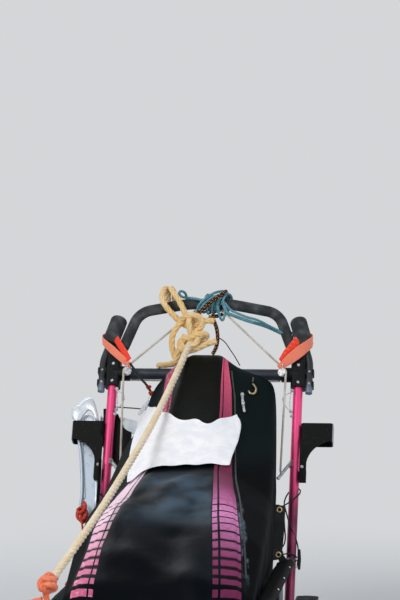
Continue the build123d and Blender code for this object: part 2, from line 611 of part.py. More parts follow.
# Snow-hook holders: sheet loops outside the stanchions, bolted to them below.
holder_axis = Plane(origin=(0, stanchion_y(holder_z), holder_z), x_dir=(1, 0, 0), z_dir=stanchion_dir)
holder_face = Plane(
    origin=(0, stanchion_y(holder_z), holder_z), x_dir=(1, 0, 0), z_dir=(0, -1, stanchion_lean)
)
holder_in = half_track + stanchion_d / 2 + 0.3
holder_low, holder_high = -holder_band / 2, holder_band / 2
strip_out = holder_in + holder_strip_w
for name, side in sides:
    mid_x = side * (holder_in + holder_reach) / 2
    wide = holder_reach - holder_in
    with BuildPart() as holder:
        with BuildSketch(holder_axis):
            with Locations((mid_x, 0)):
                RectangleRounded(wide, holder_depth, holder_round)
                RectangleRounded(wide - 2 * holder_wall, holder_depth - 2 * holder_wall,
                                 holder_round - holder_wall, mode=Mode.SUBTRACT)
        extrude(amount=holder_band / 2, both=True)
        # Front sheet: a concave curve from the loop's lower edge into the bolted strip.
        with BuildSketch(holder_face.offset(holder_depth / 2 - holder_wall)):
            with BuildLine():
                corner = (side * (holder_reach - holder_round), holder_low)
                waist = (side * strip_out, -holder_curve_low)
                bulge = (side * (strip_out + 0.32 * (holder_reach - strip_out)), holder_low - 21)
                Line((side * holder_in, holder_low + holder_round), (corner[0], holder_low + holder_round))
                Line((corner[0], holder_low + holder_round), corner)
                ThreePointArc(corner, bulge, waist)
                Line(waist, (side * strip_out, -holder_strip_low))
                Line((side * strip_out, -holder_strip_low), (side * holder_in, -holder_strip_low))
                Line((side * holder_in, -holder_strip_low), (side * holder_in, holder_low + holder_round))
            make_face()
        extrude(amount=holder_wall)
        with BuildSketch(holder_face.offset(hook_t / 2)):
            with Locations((side * (holder_in + holder_strip_w / 2), holder_pad_h / 2 - holder_strip_low)):
                Rectangle(holder_strip_w, holder_pad_h)
        extrude(amount=holder_depth / 2 - hook_t / 2)
        if side < 0:
            # Rear sheet that reaches behind the stanchion and shows on its inner side.
            with BuildSketch(holder_face.offset(-holder_depth / 2)):
                with BuildLine():
                    Polyline(
                        (-holder_in - holder_round, holder_high),
                        (-half_track + 14, holder_high + 23),
                        (-half_track + 27, holder_high + 21),
                        (-half_track + cheek_reach, 0),
                        (-half_track + cheek_reach, 2.5 * holder_low),
                        (-half_track + 28, -holder_curve_low),
                        (-half_track + 14, -holder_curve_low),
                        (-holder_in - holder_round, holder_low),
                        close=True,
                    )
                make_face()
            extrude(amount=holder_wall)
    keep(holder, f"hook_holder_{name}")

# Snow hook: a light-metal plate with an arched handle and an inboard claw, standing in the -X holder.
seat = holder_high + hook_seat
hook_in, hook_out = -(holder_in + 5), -(holder_reach - 1)
with BuildPart() as hook:
    with BuildSketch(holder_face.offset(-hook_back)):
        with BuildLine():
            FilletPolyline(
                (hook_out, seat), (hook_out, 78), (-341, 111), (-316, 109), (-301, 66), (-298, seat),
                (-291, -20), (-277, -205), (-281, -272), (-327, -275), (-328, -205), (-346, -50), (-349, seat),
                radius=5, close=True,
            )
        make_face()
        with BuildLine():
            FilletPolyline((-346, 38), (-342, 62), (-329, 76), (-316, 66), (-308, 38), radius=5, close=True)
        make_face(mode=Mode.SUBTRACT)
    extrude(amount=hook_t)
    # Rolled outer edge with a groove beside it.
    edge_run = ((-347, -30), (-346, -50), (-328.5, -200))
    with BuildSketch(holder_face.offset(hook_t - hook_back)):
        with BuildLine():
            other_side = [(px + hook_rim_w, pz) for px, pz in reversed(edge_run)]
            Polyline(*edge_run, *other_side, close=True)
        make_face()
    extrude(amount=hook_rim_t)
    with BuildSketch(holder_face.offset(hook_t / 2 - hook_back)):
        with BuildLine():
            groove = [(px + hook_rim_w, pz) for px, pz in edge_run]
            other_side = [(px + hook_groove, pz) for px, pz in reversed(groove)]
            Polyline(*groove, *other_side, close=True)
        make_face()
    extrude(amount=hook_t, mode=Mode.SUBTRACT)
    with BuildSketch(holder_face.offset(-claw_back)):
        with BuildLine():
            Polyline(
                (-300, 34), (-300, 60), (-232, 60), (-190, 48), (-188, 12), (-212, 10), (-224, 31), (-238, 37),
                close=True,
            )
        make_face()
    extrude(amount=hook_t)
    with BuildSketch(holder_face.offset(-claw_back)):
        with Locations((hook_in - 14, 46)):
            Rectangle(9, 26)
    extrude(amount=claw_back - hook_back + hook_t)
keep(hook, "snow_hook")

# Cargo bag: stuffed fabric bag between the rails, rising to a narrow ridge under the handlebar.
# Columns: distance y, ridge height, half width of the ridge's flat, half width and height of the
# ridge's edge, width and height of the -X shoulder, width and height of the +X shoulder.
bag_sections = (
    (-735, 215, 120, 165, 206, 212, 192, 212, 192),
    (-607, 336, 150, 204, 324, 236, 292, 236, 292),
    (-360, 455, 128, 176, 442, 240, 388, 240, 388),
    (-150, 510, 106, 149, 494, 238, 440, 238, 440),
    (20, 546, 84, 128, 530, 232, 462, 232, 462),
    (300, 682, 60, 100, 660, 236, 545, 220, 588),
    (420, 740, 50, 95, 713, 222, 517, 212, 655),
    (540, 798, 44, 90, 766, 150, 700, 203, 722),
    (640, 800, 42, 88, 768, 148, 704, 202, 736),
)
bag_floor = bed_top + bag_gap
bag_foot = 214.0

with BuildPart() as bag_form:
    for y, ridge_z, flat_x, edge_x, edge_z, left_x, left_z, right_x, right_z in bag_sections:
        with BuildSketch(Plane.XZ.offset(-y)):
            with BuildLine():
                Polyline(
                    (bag_foot, bag_floor), (right_x, right_z), (edge_x, edge_z), (flat_x, ridge_z),
                    (-flat_x, ridge_z), (-edge_x, edge_z), (-left_x, left_z), (-bag_foot, bag_floor),
                    close=True,
                )
            make_face()
    loft(ruled=True)

with BuildPart() as bag:
    add(bag_form.part)
    rear_wall = Plane(
        origin=(0, stanchion_y(bag_floor) - bag_rear_gap, bag_floor), z_dir=(0, 1, -stanchion_lean)
    )
    split(bisect_by=rear_wall, keep=Keep.BOTTOM)
keep(bag, "sled_bag")

# Bib: a blank cloth number plate over the ridge, cut in plan from a skin that lies on the bag.
bib_t, bib_lie = 3.0, 0.9
bib_outline = (
    (-150, 470), (-168, 430), (-168, 218), (-156, 100), (-140, -40), (-97, 10), (0, 28), (117, 48),
    (126, 150), (130, 264), (114, 314), (72, 260), (30, 226), (-15, 226), (-65, 256),
)
with BuildPart() as bib:
    with Locations((0, 0, bib_lie + bib_t)):
        add(bag_form.part)
    with Locations((0, 0, bib_lie)):
        add(bag_form.part, mode=Mode.SUBTRACT)
    with BuildSketch(Plane.XY.offset(bag_foot)):
        with BuildLine():
            Polyline(*bib_outline, close=True)
        make_face()
    extrude(amount=holder_z + crossbar_z, mode=Mode.INTERSECT)
keep(bib, "bib")

# Rope knot: the yellow snub rope wound round the handlebar and knotted in front of it.
bar_drop = (grip_z - shoulder_z) / (shoulder_x - bar_flat_x)
with BuildPart() as knot:
    wrap_x = -88.0
    wrap_z = grip_z - bar_drop * (-wrap_x - bar_flat_x)
    wrap_y = grip_y + (shoulder_y - grip_y) / (shoulder_x - bar_flat_x) * (-wrap_x - bar_flat_x)
    wrap_dir = (bar_flat_x - shoulder_x, shoulder_y - grip_y, shoulder_z - grip_z)
    with BuildSketch(Plane(origin=(wrap_x, wrap_y, wrap_z), z_dir=wrap_dir)):
        Circle(foam_d / 2 + 21)
    extrude(amount=24, both=True)
    with BuildSketch(Plane.XZ.offset(-(grip_y - foam_d / 2 - 12))):
        with BuildLine():
            outline = (
                (-128, 12), (-70, 24), (-20, 6), (8, -23), (4, -83), (-40, -138), (-112, -132), (-134, -88),
            )
            Polyline(*[(px, grip_z + rise) for px, rise in outline], close=True)
        make_face()
    extrude(amount=40)
    add(rod(arch(*foam_foot), foam_d + 1.2, arch_bends).part, mode=Mode.SUBTRACT)
    between(*lift_runs["l"], lift_cord_d + 3, Mode.SUBTRACT)
keep(knot, "rope_knot")

# Snub rope: from the knot, just over the bag, to the becket on the brush bow.
rope_d = 20.0
rope_points = [
    (-46, 612, 834),
    (-52, 556, 813),
    (-63, 470, 773),
    (-83, 300, 704),
    (-104, 120, 638),
    (-131, -100, 571),
    (-162, -350, 497),
    (-197, -590, 429),
    (-231, -782, 370),
]
keep(rod(rope_points, rope_d, route_bends(rope_points)), "snub_rope")

becket_y = -806.0
arm_z = bow_axis_z(becket_y)
with BuildPart() as becket:
    with BuildSketch(Plane(origin=(-half_track, becket_y, arm_z), z_dir=(0, -1, bow_slope))):
        Circle(bow_d / 2 + 13)
        Circle(bow_d / 2 + 0.4, mode=Mode.SUBTRACT)
    extrude(amount=6.5, both=True)
    neck_top = (-237, becket_y, 364)
    between((-half_track + 8, becket_y, arm_z + bow_d / 2 + 7), neck_top, 18)
    with Locations(neck_top):
        Sphere(27)
keep(becket, "rope_becket")

# Teal cord wound round the middle of the handlebar.
with BuildPart() as wrap:
    with BuildSketch(Plane.YZ.offset(-12)):
        with Locations((grip_y, grip_z)):
            Circle(foam_d / 2 + 9)
            Circle(foam_d / 2 + 0.4, mode=Mode.SUBTRACT)
    extrude(amount=42)
keep(wrap, "cord_wrap")

# Hook line: a thin line from the knot on the snow hook to a hitch on the side rail.
knot_plane = holder_face.offset(hook_t - hook_back + 0.2)
with BuildPart() as hook_knot:
    with BuildSketch(knot_plane):
        with Locations((-318, -246.7)):
            Ellipse(18, 27)
    extrude(amount=22)
    fillet(hook_knot.faces().sort_by(Axis.Y)[0].edges(), 6)
keep(hook_knot, "hook_knot")

line_d = 6.0
line_points = [
    (-317, 318, 352),
    (-305, 268, 306),
    (-293, 200, 276),
    (-287, 120, 262),
    (-284, 30, 255),
    (-283, -60, 252),
    (-281, -150, 255),
    (-278.5, -237.7, 262),
]
keep(rod(line_points, line_d, route_bends(line_points)), "hook_line")

hitch_y = -250.0
with BuildPart() as hitch:
    with BuildSketch(Plane(origin=(-half_track, hitch_y, rail_z(hitch_y)), z_dir=(0, -1, 0.013))):
        Circle(rail_d / 2 + 7)
        Circle(rail_d / 2 + 0.4, mode=Mode.SUBTRACT)
    extrude(amount=12, both=True)
keep(hitch, "line_hitch")
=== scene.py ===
"""Looks of a racing dog sled: tubular frame, laced cargo bag, ropes, snow hook and foot brake."""
import math

import bmesh
import bpy
import numpy as np
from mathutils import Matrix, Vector


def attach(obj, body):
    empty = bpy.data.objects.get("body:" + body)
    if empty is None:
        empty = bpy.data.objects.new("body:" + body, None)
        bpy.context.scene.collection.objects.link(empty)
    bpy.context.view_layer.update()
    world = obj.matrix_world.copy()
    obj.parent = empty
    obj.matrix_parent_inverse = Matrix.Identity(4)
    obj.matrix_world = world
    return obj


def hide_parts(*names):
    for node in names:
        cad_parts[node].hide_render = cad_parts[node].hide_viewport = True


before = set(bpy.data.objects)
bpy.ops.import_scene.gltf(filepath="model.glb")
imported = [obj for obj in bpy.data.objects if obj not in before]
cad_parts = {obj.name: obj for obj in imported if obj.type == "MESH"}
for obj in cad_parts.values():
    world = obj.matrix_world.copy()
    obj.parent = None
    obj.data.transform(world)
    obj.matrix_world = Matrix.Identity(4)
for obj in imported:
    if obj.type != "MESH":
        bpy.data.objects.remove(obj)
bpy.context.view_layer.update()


# Runners: slotted aluminium profiles, anodised grey, over soles of slick white plastic that are
# slid on from the tails and scratched by ice and grit.
def srgb(red, green, blue):
    """Linear colour of a paint chip read as 0 to 255: each share to the power 2.2."""
    return tuple((level / 255) ** 2.2 for level in (red, green, blue)) + (1.0,)


class Socket:
    """A number in a material's nodes. Each operator adds the Math node of its name."""

    def __init__(self, finish, link):
        self.finish, self.link = finish, link

    def math(self, operation, *others):
        sockets = dict(enumerate((self,) + others))
        return self.finish.node("ShaderNodeMath", {"operation": operation}, sockets)

    def __add__(self, other):
        return self.math("ADD", other)

    def __sub__(self, other):
        return self.math("SUBTRACT", other)

    def __rsub__(self, other):
        return (self * -1.0).math("ADD", other)

    def __mul__(self, other):
        return self.math("MULTIPLY", other)

    def __truediv__(self, other):
        return self.math("DIVIDE", other)

    __radd__ = __add__
    __rmul__ = __mul__

    def wave(self, length):
        """Rises and falls between 0 and 1 once in each length."""
        return (self * (2 * math.pi / length)).math("SINE") * 0.5 + 0.5

    def step(self, low, high):
        """Smooth rise from 0 at low to 1 at high."""
        settings = {"interpolation_type": "SMOOTHSTEP"}
        return self.finish.node("ShaderNodeMapRange", settings, {0: self, 1: low, 2: high})


class Finish:
    """One material: its Principled shader and the nodes that feed it."""

    def __init__(self, name, color, roughness=0.5, **levels):
        self.material = bpy.data.materials.new(name)
        self.material.use_nodes = True
        self.tree = self.material.node_tree
        self.surface = self.tree.nodes["Principled BSDF"]
        self.feed("Base Color", color)
        self.feed("Roughness", roughness)
        for words, level in levels.items():
            self.feed(words.replace("_", " ").title().replace("Ior", "IOR"), level)

    def feed(self, socket, value):
        """Links or sets one socket of the shader."""
        self.plug(self.surface.inputs[socket], value)

    def plug(self, socket, value):
        """Links a socket to a value made by nodes, or sets it to a plain one."""
        if isinstance(value, Socket):
            self.tree.links.new(value.link, socket)
        else:
            socket.default_value = value

    def node(self, kind, settings, sockets, output=0):
        """Adds a node of any kind: its settings first, then its sockets' values or links."""
        made = self.tree.nodes.new(kind)
        for words, value in settings.items():
            if words == "stops":
                ramp = made.color_ramp.elements
                ramp[0].position, ramp[0].color = value[0]
                ramp[1].position, ramp[1].color = value[-1]
                for place, color in value[1:-1]:
                    ramp.new(place).color = color
            else:
                setattr(made, words, value)
        for socket, value in sockets.items():
            self.plug(made.inputs[socket], value)
        return Socket(self, made.outputs[output])

    def place(self, scale=(1, 1, 1)):
        """Coordinates in the sled's own metres, stretched."""
        at = self.node("ShaderNodeTexCoord", {}, {}, "Object")
        return self.node("ShaderNodeMapping", {}, {"Vector": at, "Scale": scale})

    def coordinate(self, letter):
        """One of the sled's own coordinates, in metres."""
        at = self.node("ShaderNodeTexCoord", {}, {}, "Object")
        return self.node("ShaderNodeSeparateXYZ", {}, {0: at}, letter)

    def noise(self, size, detail=3.0, at=None, rough=0.5):
        """Cloudy variation between 0 and 1 with features of about the given size in metres."""
        at = at or self.place()
        return self.node("ShaderNodeTexNoise", {}, {"Vector": at, "Scale": 1 / size, "Detail": detail,
                                                    "Roughness": rough})

    def cloth(self):
        """The piece's UV map as two numbers in metres: along it and across it."""
        uv = self.node("ShaderNodeUVMap", {"uv_map": "metres"}, {})
        split = self.node("ShaderNodeSeparateXYZ", {}, {0: uv}, "X")
        return split, Socket(self, split.link.node.outputs["Y"])

    def blend(self, share, first, second):
        """Mixes two colours."""
        settings = {"data_type": "RGBA"}
        return self.node("ShaderNodeMix", settings, {0: share, 6: first, 7: second}, 2)

    def relief(self, height, depth):
        """Bump of the given depth in metres where height goes from 0 to 1."""
        made = self.node("ShaderNodeBump", {}, {"Height": height, "Distance": depth, "Strength": 1.0})
        self.feed("Normal", made)


def dress(finish, *nodes):
    """Gives frame pieces their finish."""
    for node in nodes:
        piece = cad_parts[node]
        piece.data.materials.clear()
        piece.data.materials.append(finish.material)


def both(word):
    """A piece's two names, one for each side."""
    return word + "_l", word + "_r"


def tube_finish(name, color, worn, metallic=0.9, roughness=0.36, low=None, low_heights=(0.30, 0.52)):
    """Drawn and anodised tube: fine lines along it, faint cloudy dirt and small bright nicks. Where
    a low colour is given, the tube turns to it below the two heights."""
    made = Finish(name, color, roughness, metallic=metallic, specular_ior_level=0.5)
    if low:
        color = made.blend(made.coordinate("Z").step(*low_heights), low, color)
    drawn = made.noise(0.0012, 2.0, made.place((1.0, 0.06, 0.06)))
    nicks = made.noise(0.006, 5.0, rough=0.7).step(0.69, 0.74)
    haze = made.noise(0.11, 4.0).step(0.30, 0.80)
    made.feed("Base Color", made.blend(nicks * 0.6, made.blend(haze * 0.35, color, worn), worn))
    made.feed("Roughness", haze * 0.14 + drawn * 0.10 + (roughness - 0.10))
    made.relief(drawn * 0.5 + nicks * -0.5, 0.00012)
    return made


grey_tube = tube_finish("grey_tube", srgb(120, 123, 128), srgb(150, 152, 156))
dress(grey_tube, *both("runner"), *both("rail_posts"), "handlebar",
      "cross_tube_front", "cross_tube_mid", "cross_tube_rear", "nose_tube", "brake_bow")
sole_plastic = Finish("sole_plastic", srgb(226, 226, 220), 0.42, specular_ior_level=0.45)
scratches = sole_plastic.noise(0.0018, 4.0, sole_plastic.place((1.0, 0.03, 1.0)), 0.6)
sole_plastic.feed("Base Color",
                  sole_plastic.blend(scratches.step(0.45, 0.8), srgb(228, 228, 222), srgb(168, 170, 170)))
sole_plastic.relief(scratches, 0.0003)
dress(sole_plastic, *both("shoe"))

# Footboards: ribbed black rubber pads, dusty in their grooves, that lie on the runners' tails. Each
# is screwed down through its ends with four steel pan-head screws.
pad_rubber = Finish("pad_rubber", srgb(38, 38, 40), 0.78, specular_ior_level=0.3)
grit = pad_rubber.noise(0.0016, 4.0)
pad_rubber.feed("Base Color",
                pad_rubber.blend(pad_rubber.noise(0.03, 4.0).step(0.4, 0.8), srgb(30, 30, 32),
                                 srgb(66, 66, 66)))
pad_rubber.relief(grit, 0.0004)
dress(pad_rubber, *both("footboard"))


def travelled(path):
    """Distance along a path at each of its points: the running total of its steps."""
    return np.r_[0, np.cumsum(np.linalg.norm(np.diff(path, axis=0), axis=1))]


def surface(name, finish, grids, closed=True, charts=None, flat=False, weld=1e-6):
    """Mesh of grids of points, four neighbours to a face, whose UV map measures metres along and
    across each grid, or is given as charts. closed joins the end of each row to its start."""
    points, faces, maps, count = [], [], [], 0
    for number, grid in enumerate(grids):
        rows, columns = grid.shape[:2]
        index = count + np.arange(rows * columns).reshape(rows, columns)
        along = travelled(grid.mean(axis=1))[:, None]
        ring = np.concatenate((grid, grid[:, :1]), 1) if closed else grid
        across = travelled(ring[len(ring) // 2])[None]
        if closed:
            index = np.concatenate((index, index[:, :1]), 1)
        chart = charts[number] if charts else np.stack(np.broadcast_arrays(along, across), -1)
        corners = lambda a: np.stack((a[:-1, :-1], a[:-1, 1:], a[1:, 1:], a[1:, :-1]), 2)
        faces.append(corners(index).reshape(-1, 4))
        maps.append(corners(chart).reshape(-1, 2))
        points.append(grid.reshape(-1, 3))
        count += rows * columns
    mesh = bpy.data.meshes.new(name)
    mesh.from_pydata(np.concatenate(points), [], np.concatenate(faces))
    layer = mesh.uv_layers.new(name="metres")
    layer.data.foreach_set("uv", np.concatenate(maps).ravel())
    shape = bmesh.new()
    shape.from_mesh(mesh)
    bmesh.ops.remove_doubles(shape, verts=shape.verts, dist=weld)
    bmesh.ops.dissolve_degenerate(shape, edges=shape.edges, dist=1e-7)
    if not closed:
        bmesh.ops.recalc_face_normals(shape, faces=shape.faces)
    shape.to_mesh(mesh)
    shape.free()
    mesh.polygons.foreach_set("use_smooth", np.full(len(mesh.polygons), not flat))
    mesh.materials.append(finish.material)
    made = bpy.data.objects.new(name, mesh)
    bpy.context.scene.collection.objects.link(made)
    return made


def turned(at, axis, outline):
    """Turned part: an outline of radius and height in metres, spun round an axis through a point."""
    axis = np.array(axis, float) / np.linalg.norm(axis)
    side = np.cross(axis, (0.37, 0.81, 0.45))
    side /= np.linalg.norm(side)
    other = np.cross(axis, side)
    angle = (np.arange(20) * 2 * math.pi / 20)[None, :, None]
    outline = np.array(outline)[:, :, None]
    ring = np.cos(angle) * side + np.sin(angle) * other
    return np.asarray(at) + outline[:, 1:] * axis + outline[:, :1] * ring


def bolt(at, axis, size=0.005):
    """Pan-head bolt: washer, domed head and driven recess, as one turned outline."""
    rim, head = size * 1.15, size * 0.92
    return turned(at, axis, [
        (0, -size), (rim, -size), (rim, size * 0.16), (head, size * 0.2), (head, size * 0.5),
        (head * 0.86, size * 0.72), (head * 0.5, size * 0.8), (head * 0.46, size * 0.5), (0, size * 0.45)])


half_track = 0.263
runner_screw_z = 0.0482
steel = Finish("steel", srgb(190, 192, 196), 0.28, metallic=1.0)
steel_haze = steel.noise(0.012, 4.0)
steel.feed("Roughness", steel_haze * 0.25 + 0.18)
steel.feed("Base Color", steel.blend(steel_haze.step(0.55, 0.85), srgb(192, 194, 198), srgb(140, 140, 142)))
pad_screws = surface("pad_screws", steel, [
    bolt((side * half_track + x, y, runner_screw_z), (0, 0, 1), 0.004) for side in (-1, 1)
    for x, y in ((-0.016, 0.338), (0.016, 0.338), (-0.016, 0.992), (0.016, 0.992))])
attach(pad_screws, "sled")

# Stanchions: 27 mm aluminium tubes, anodised pink, that lean back from their feet on the runners
# to the corner joints. Toward the feet the pink turns dark wine: painted shade.
foot_y, foot_z, lean = 0.156, 0.042, 0.6


def stanchion_at(side, height, outward=0.0):
    """Point on a stanchion's axis at a height, moved outward: the axis goes back by the lean for each
    metre up."""
    return np.array((side * (half_track + outward), foot_y + (height - foot_z) * lean, height))


# Below 0.38 to 0.50 m the tube's colour turns to a dark wine: painted shade.
pink_tube = tube_finish("pink_tube", srgb(246, 80, 136), srgb(226, 100, 144), 0.55, 0.34, srgb(84, 26, 54),
                        (0.38, 0.50))
dress(pink_tube, *both("stanchion"))

# Moulded parts: corner joints, stanchion feet and bow saddles in black nylon with a fine grain,
# worn grey where hands and rope rub them, and bolted through. The brush bow is a bent bar of
# tougher plastic, scarred along its length.
black_plastic = Finish("black_plastic", srgb(12, 13, 13), 0.5, specular_ior_level=0.18)
grain = black_plastic.noise(0.0009, 2.0)
rubbed = black_plastic.noise(0.02, 5.0, rough=0.65).step(0.52, 0.78)
black_plastic.feed("Base Color", black_plastic.blend(rubbed * 0.5, srgb(14, 18, 21), srgb(56, 61, 66)))
black_plastic.feed("Roughness", rubbed * 0.2 + 0.42)
black_plastic.relief(grain, 0.00022)
dress(black_plastic, *both("corner_joint"), *both("stanchion_foot"), *both("bow_saddle"))
bow_plastic = Finish("bow_plastic", srgb(20, 21, 22), 0.5, specular_ior_level=0.4)
bow_scars = bow_plastic.noise(0.003, 4.0, bow_plastic.place((0.15, 1.0, 1.0)), 0.65).step(0.55, 0.8)
bow_plastic.feed("Base Color", bow_plastic.blend(bow_scars * 0.6, srgb(18, 19, 20), srgb(92, 94, 96)))
bow_plastic.relief(bow_scars, 0.0004)
dress(bow_plastic, "brush_bow")

forward = np.array((0, -1.0, lean)) / math.hypot(lean, 1.0)
joint_face, lug_face, foot_face, horn_offset = 0.0195, 0.0160, 0.0172, 0.031
bolts = []
for side in (-1, 1):
    for height in (0.718, 0.764, 0.800):
        bolts.append(bolt(stanchion_at(side, height) + forward * joint_face, forward, 0.0042))
    for height in (0.716, 0.748):
        bolts.append(bolt(stanchion_at(side, height, horn_offset) + forward * lug_face, forward, 0.0036))
    bolts.append(bolt((side * 0.226, 0.5568, 0.745), (0, -1, 0), 0.0036))
    bolts.append(bolt(stanchion_at(side, 0.075) + forward * foot_face, forward, 0.0042))
    for shift in (-0.038, 0.038):
        bolts.append(bolt((side * half_track, 0.168 + shift, runner_screw_z), (0, 0, 1), 0.0042))
frame_bolts = surface("frame_bolts", steel, bolts)
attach(frame_bolts, "sled")


# Top crossbar: black anodised tube between the corner joints, with a thin grey cord stretched
# behind it. The side rails are the same tube, and the horns are paler at their lower ends.
def spline(points):
    """Smooth line through space: the points of an open NURBS curve of order 3 that has the given
    control points and reaches both ends."""
    curve = bpy.data.curves.new("line", "CURVE")
    curve.dimensions = "3D"
    curve.resolution_u = 16
    run = curve.splines.new("NURBS")
    run.points.add(len(points) - 1)
    run.points.foreach_set("co", np.c_[np.array(points, float), np.ones(len(points))].ravel())
    run.order_u = 3
    run.use_endpoint_u = True
    holder = bpy.data.objects.new("line", curve)
    mesh = bpy.data.meshes.new_from_object(holder)
    line = np.empty(len(mesh.vertices) * 3)
    mesh.vertices.foreach_get("co", line)
    bpy.data.objects.remove(holder)
    bpy.data.curves.remove(curve)
    bpy.data.meshes.remove(mesh)
    return line.reshape(-1, 3)


def frames(path, facing=None):
    """Tangent, normal and binormal at each point of a path. The normal is square to a fixed
    direction; with no facing it is turned back by the running total of its turn about the
    tangent, so that it never twists."""
    tangent = np.gradient(path, axis=0)
    tangent /= np.linalg.norm(tangent, axis=1, keepdims=True)
    fixed = np.array(facing if facing is not None else (0.31, 0.17, 0.93))
    normal = np.cross(np.broadcast_to(fixed, tangent.shape), tangent)
    normal /= np.linalg.norm(normal, axis=1, keepdims=True)
    binormal = np.cross(tangent, normal)
    if facing is not None:
        return tangent, normal, binormal
    turn = np.arctan2((normal[:-1] * binormal[1:]).sum(1), (normal[:-1] * normal[1:]).sum(1))
    angle = np.r_[0, np.cumsum(turn)][:, None]
    return (tangent, normal * np.cos(angle) + binormal * np.sin(angle),
            binormal * np.cos(angle) - normal * np.sin(angle))


def carry(path, profile, size=1.0, facing=None):
    """Profile carried along a path: each point is the path's plus the profile's first number times
    the normal and its second times the binormal, both times size. Both ends close on the path."""
    _, normal, binormal = frames(path, facing)
    size = np.broadcast_to(np.asarray(size, float), (len(path),))[:, None, None]
    skin = path[:, None] + size * (profile[:, :1] * normal[:, None] + profile[:, 1:] * binormal[:, None])
    ends = np.broadcast_to(path[[0, -1], None], (2, len(profile), 3))
    return np.concatenate((ends[:1], skin, ends[1:]))


def circle(radius, count=12):
    """Round profile: cosine and sine of equal turns, times the radius."""
    angle = np.arange(count) * 2 * math.pi / count
    return radius * np.stack((np.cos(angle), np.sin(angle)), 1)


def rope_finish(name, pale, deep, fibre=0.0011, soft=0.92):
    """Twisted fibres: slanted light and dark lines over each strand, and worn, fuzzy patches."""
    made = Finish(name, pale, soft, sheen_weight=0.25, sheen_roughness=0.5, specular_ior_level=0.25)
    along, across = made.cloth()
    fibres = (along * 0.55 + across + made.noise(0.004) * 0.0016).wave(fibre)
    patches = made.noise(0.018, 4.0)
    worn = made.noise(0.07, 3.0).step(0.35, 0.65)
    made.feed("Base Color",
              made.blend(fibres * 0.30 + patches.step(0.35, 0.75) * 0.35 + worn * 0.35, deep, pale))
    made.relief(fibres * 0.6 + made.noise(0.0012) * 0.4, 0.0005)
    return made


black_tube = tube_finish("black_tube", srgb(44, 49, 57), srgb(98, 106, 118), 0.5, 0.40)
dress(black_tube, "top_crossbar", *both("side_rail"))
horn_tube = tube_finish("horn_tube", srgb(40, 42, 46), srgb(92, 98, 106), 0.6, 0.42, srgb(120, 134, 150),
                        (0.70, 0.74))
dress(horn_tube, *both("horn"))
grey_cord = rope_finish("grey_cord", srgb(216, 208, 196), srgb(162, 154, 146), fibre=0.0006)
bar_cord = surface("crossbar_cord", grey_cord, [carry(spline([
    (-0.212, 0.5735, 0.7272), (-0.1, 0.5730, 0.7262), (0.1, 0.5730, 0.7262), (0.212, 0.5735, 0.7272)]),
    circle(0.0022, 8))])
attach(bar_cord, "sled")

# Foam grips: closed-cell foam tube, matt and finely pitted, slid over the handlebar. The ones on
# the horns are thicker, with domed ends, and all are paler where they are held.
foam = Finish("foam", srgb(56, 58, 59), 0.9, specular_ior_level=0.25)
cells = foam.node("ShaderNodeTexVoronoi", {"feature": "F1"}, {"Vector": foam.place(), "Scale": 620.0},
                  "Distance")
handled = foam.noise(0.03, 4.0).step(0.4, 0.75)
foam.feed("Base Color", foam.blend(handled, srgb(50, 53, 54), srgb(84, 87, 89)))
foam.relief(cells * 0.7 + foam.noise(0.004) * 0.3, 0.0006)
dress(foam, "handlebar_grip", *both("side_grip"))

# Bed, cross tubes and foot brake: black sheet with drain slots, riveted to grey tubes. The brake is
# a bent tube on two steel brackets, with steel claws; sheaves and levers are of duller steel.
bed_plastic = Finish("bed_plastic", srgb(34, 35, 37), 0.52, specular_ior_level=0.4)
bed_scuffs = bed_plastic.noise(0.006, 5.0, bed_plastic.place((1.0, 0.15, 1.0)), 0.7).step(0.55, 0.8)
bed_plastic.feed("Base Color", bed_plastic.blend(bed_scuffs * 0.5, srgb(30, 31, 33), srgb(88, 90, 92)))
bed_plastic.relief(bed_scuffs, 0.0002)
dress(bed_plastic, "bed_sheet")
dress(steel, *both("brake_claw"), *both("brake_bracket"))
dull_steel = Finish("dull_steel", srgb(190, 193, 196), 0.5, metallic=0.6)
tarnish = dull_steel.noise(0.005, 4.0)
dull_steel.feed("Base Color",
                dull_steel.blend(tarnish.step(0.4, 0.7), srgb(204, 207, 210), srgb(136, 138, 141)))
dull_steel.relief(tarnish, 0.0002)
dress(dull_steel, *both("pulley"), *both("line_lever"))

# Lift lines: thin grey braid that runs over two sheaves, taut between the handlebar and the levers
# on the stanchions below.
dress(grey_cord, *both("lift_line"))

# Slings: orange polyester webbing, 24 mm wide at -X and 33 mm at +X, that carries the sheaves. One
# leg goes round each side of a side grip's foot, and both are sewn together at the sheave.
orange_webbing = Finish("orange_webbing", srgb(255, 118, 88), 0.62, sheen_weight=0.3, sheen_roughness=0.4,
                        specular_ior_level=0.3)
along, across = orange_webbing.cloth()
twill = (along + across).wave(0.0022) * 0.5 + (along - across).wave(0.0022) * 0.5
# The inner legs, marked by a point attribute, take a darker, more red copy of the orange: painted shade.
redder = orange_webbing.node("ShaderNodeAttribute", {"attribute_name": "redder"}, {}, "Fac")
outer_color = orange_webbing.blend(twill, srgb(255, 120, 90), srgb(255, 156, 128))
shaded_inner_color = orange_webbing.blend(twill, srgb(255, 42, 26), srgb(255, 92, 64))
orange_webbing.feed("Base Color", orange_webbing.blend(redder, outer_color, shaded_inner_color))
orange_webbing.relief(twill, 0.0005)


def evenly(path, step):
    """The same path with its points a fixed step apart."""
    run = travelled(path)
    places = np.linspace(0, run[-1], max(3, int(run[-1] / step) + 1))
    return np.stack([np.interp(places, run, path[:, axis]) for axis in range(3)], 1)


def strap_profile(width, thick):
    """Flat profile with rounded edges: a superellipse, wide and thin."""
    angle = np.arange(16) * 2 * math.pi / 16
    bulge = lambda wave: np.sign(wave) * np.abs(wave) ** 0.45
    return np.stack((bulge(np.cos(angle)) * width / 2, bulge(np.sin(angle)) * thick / 2), 1)


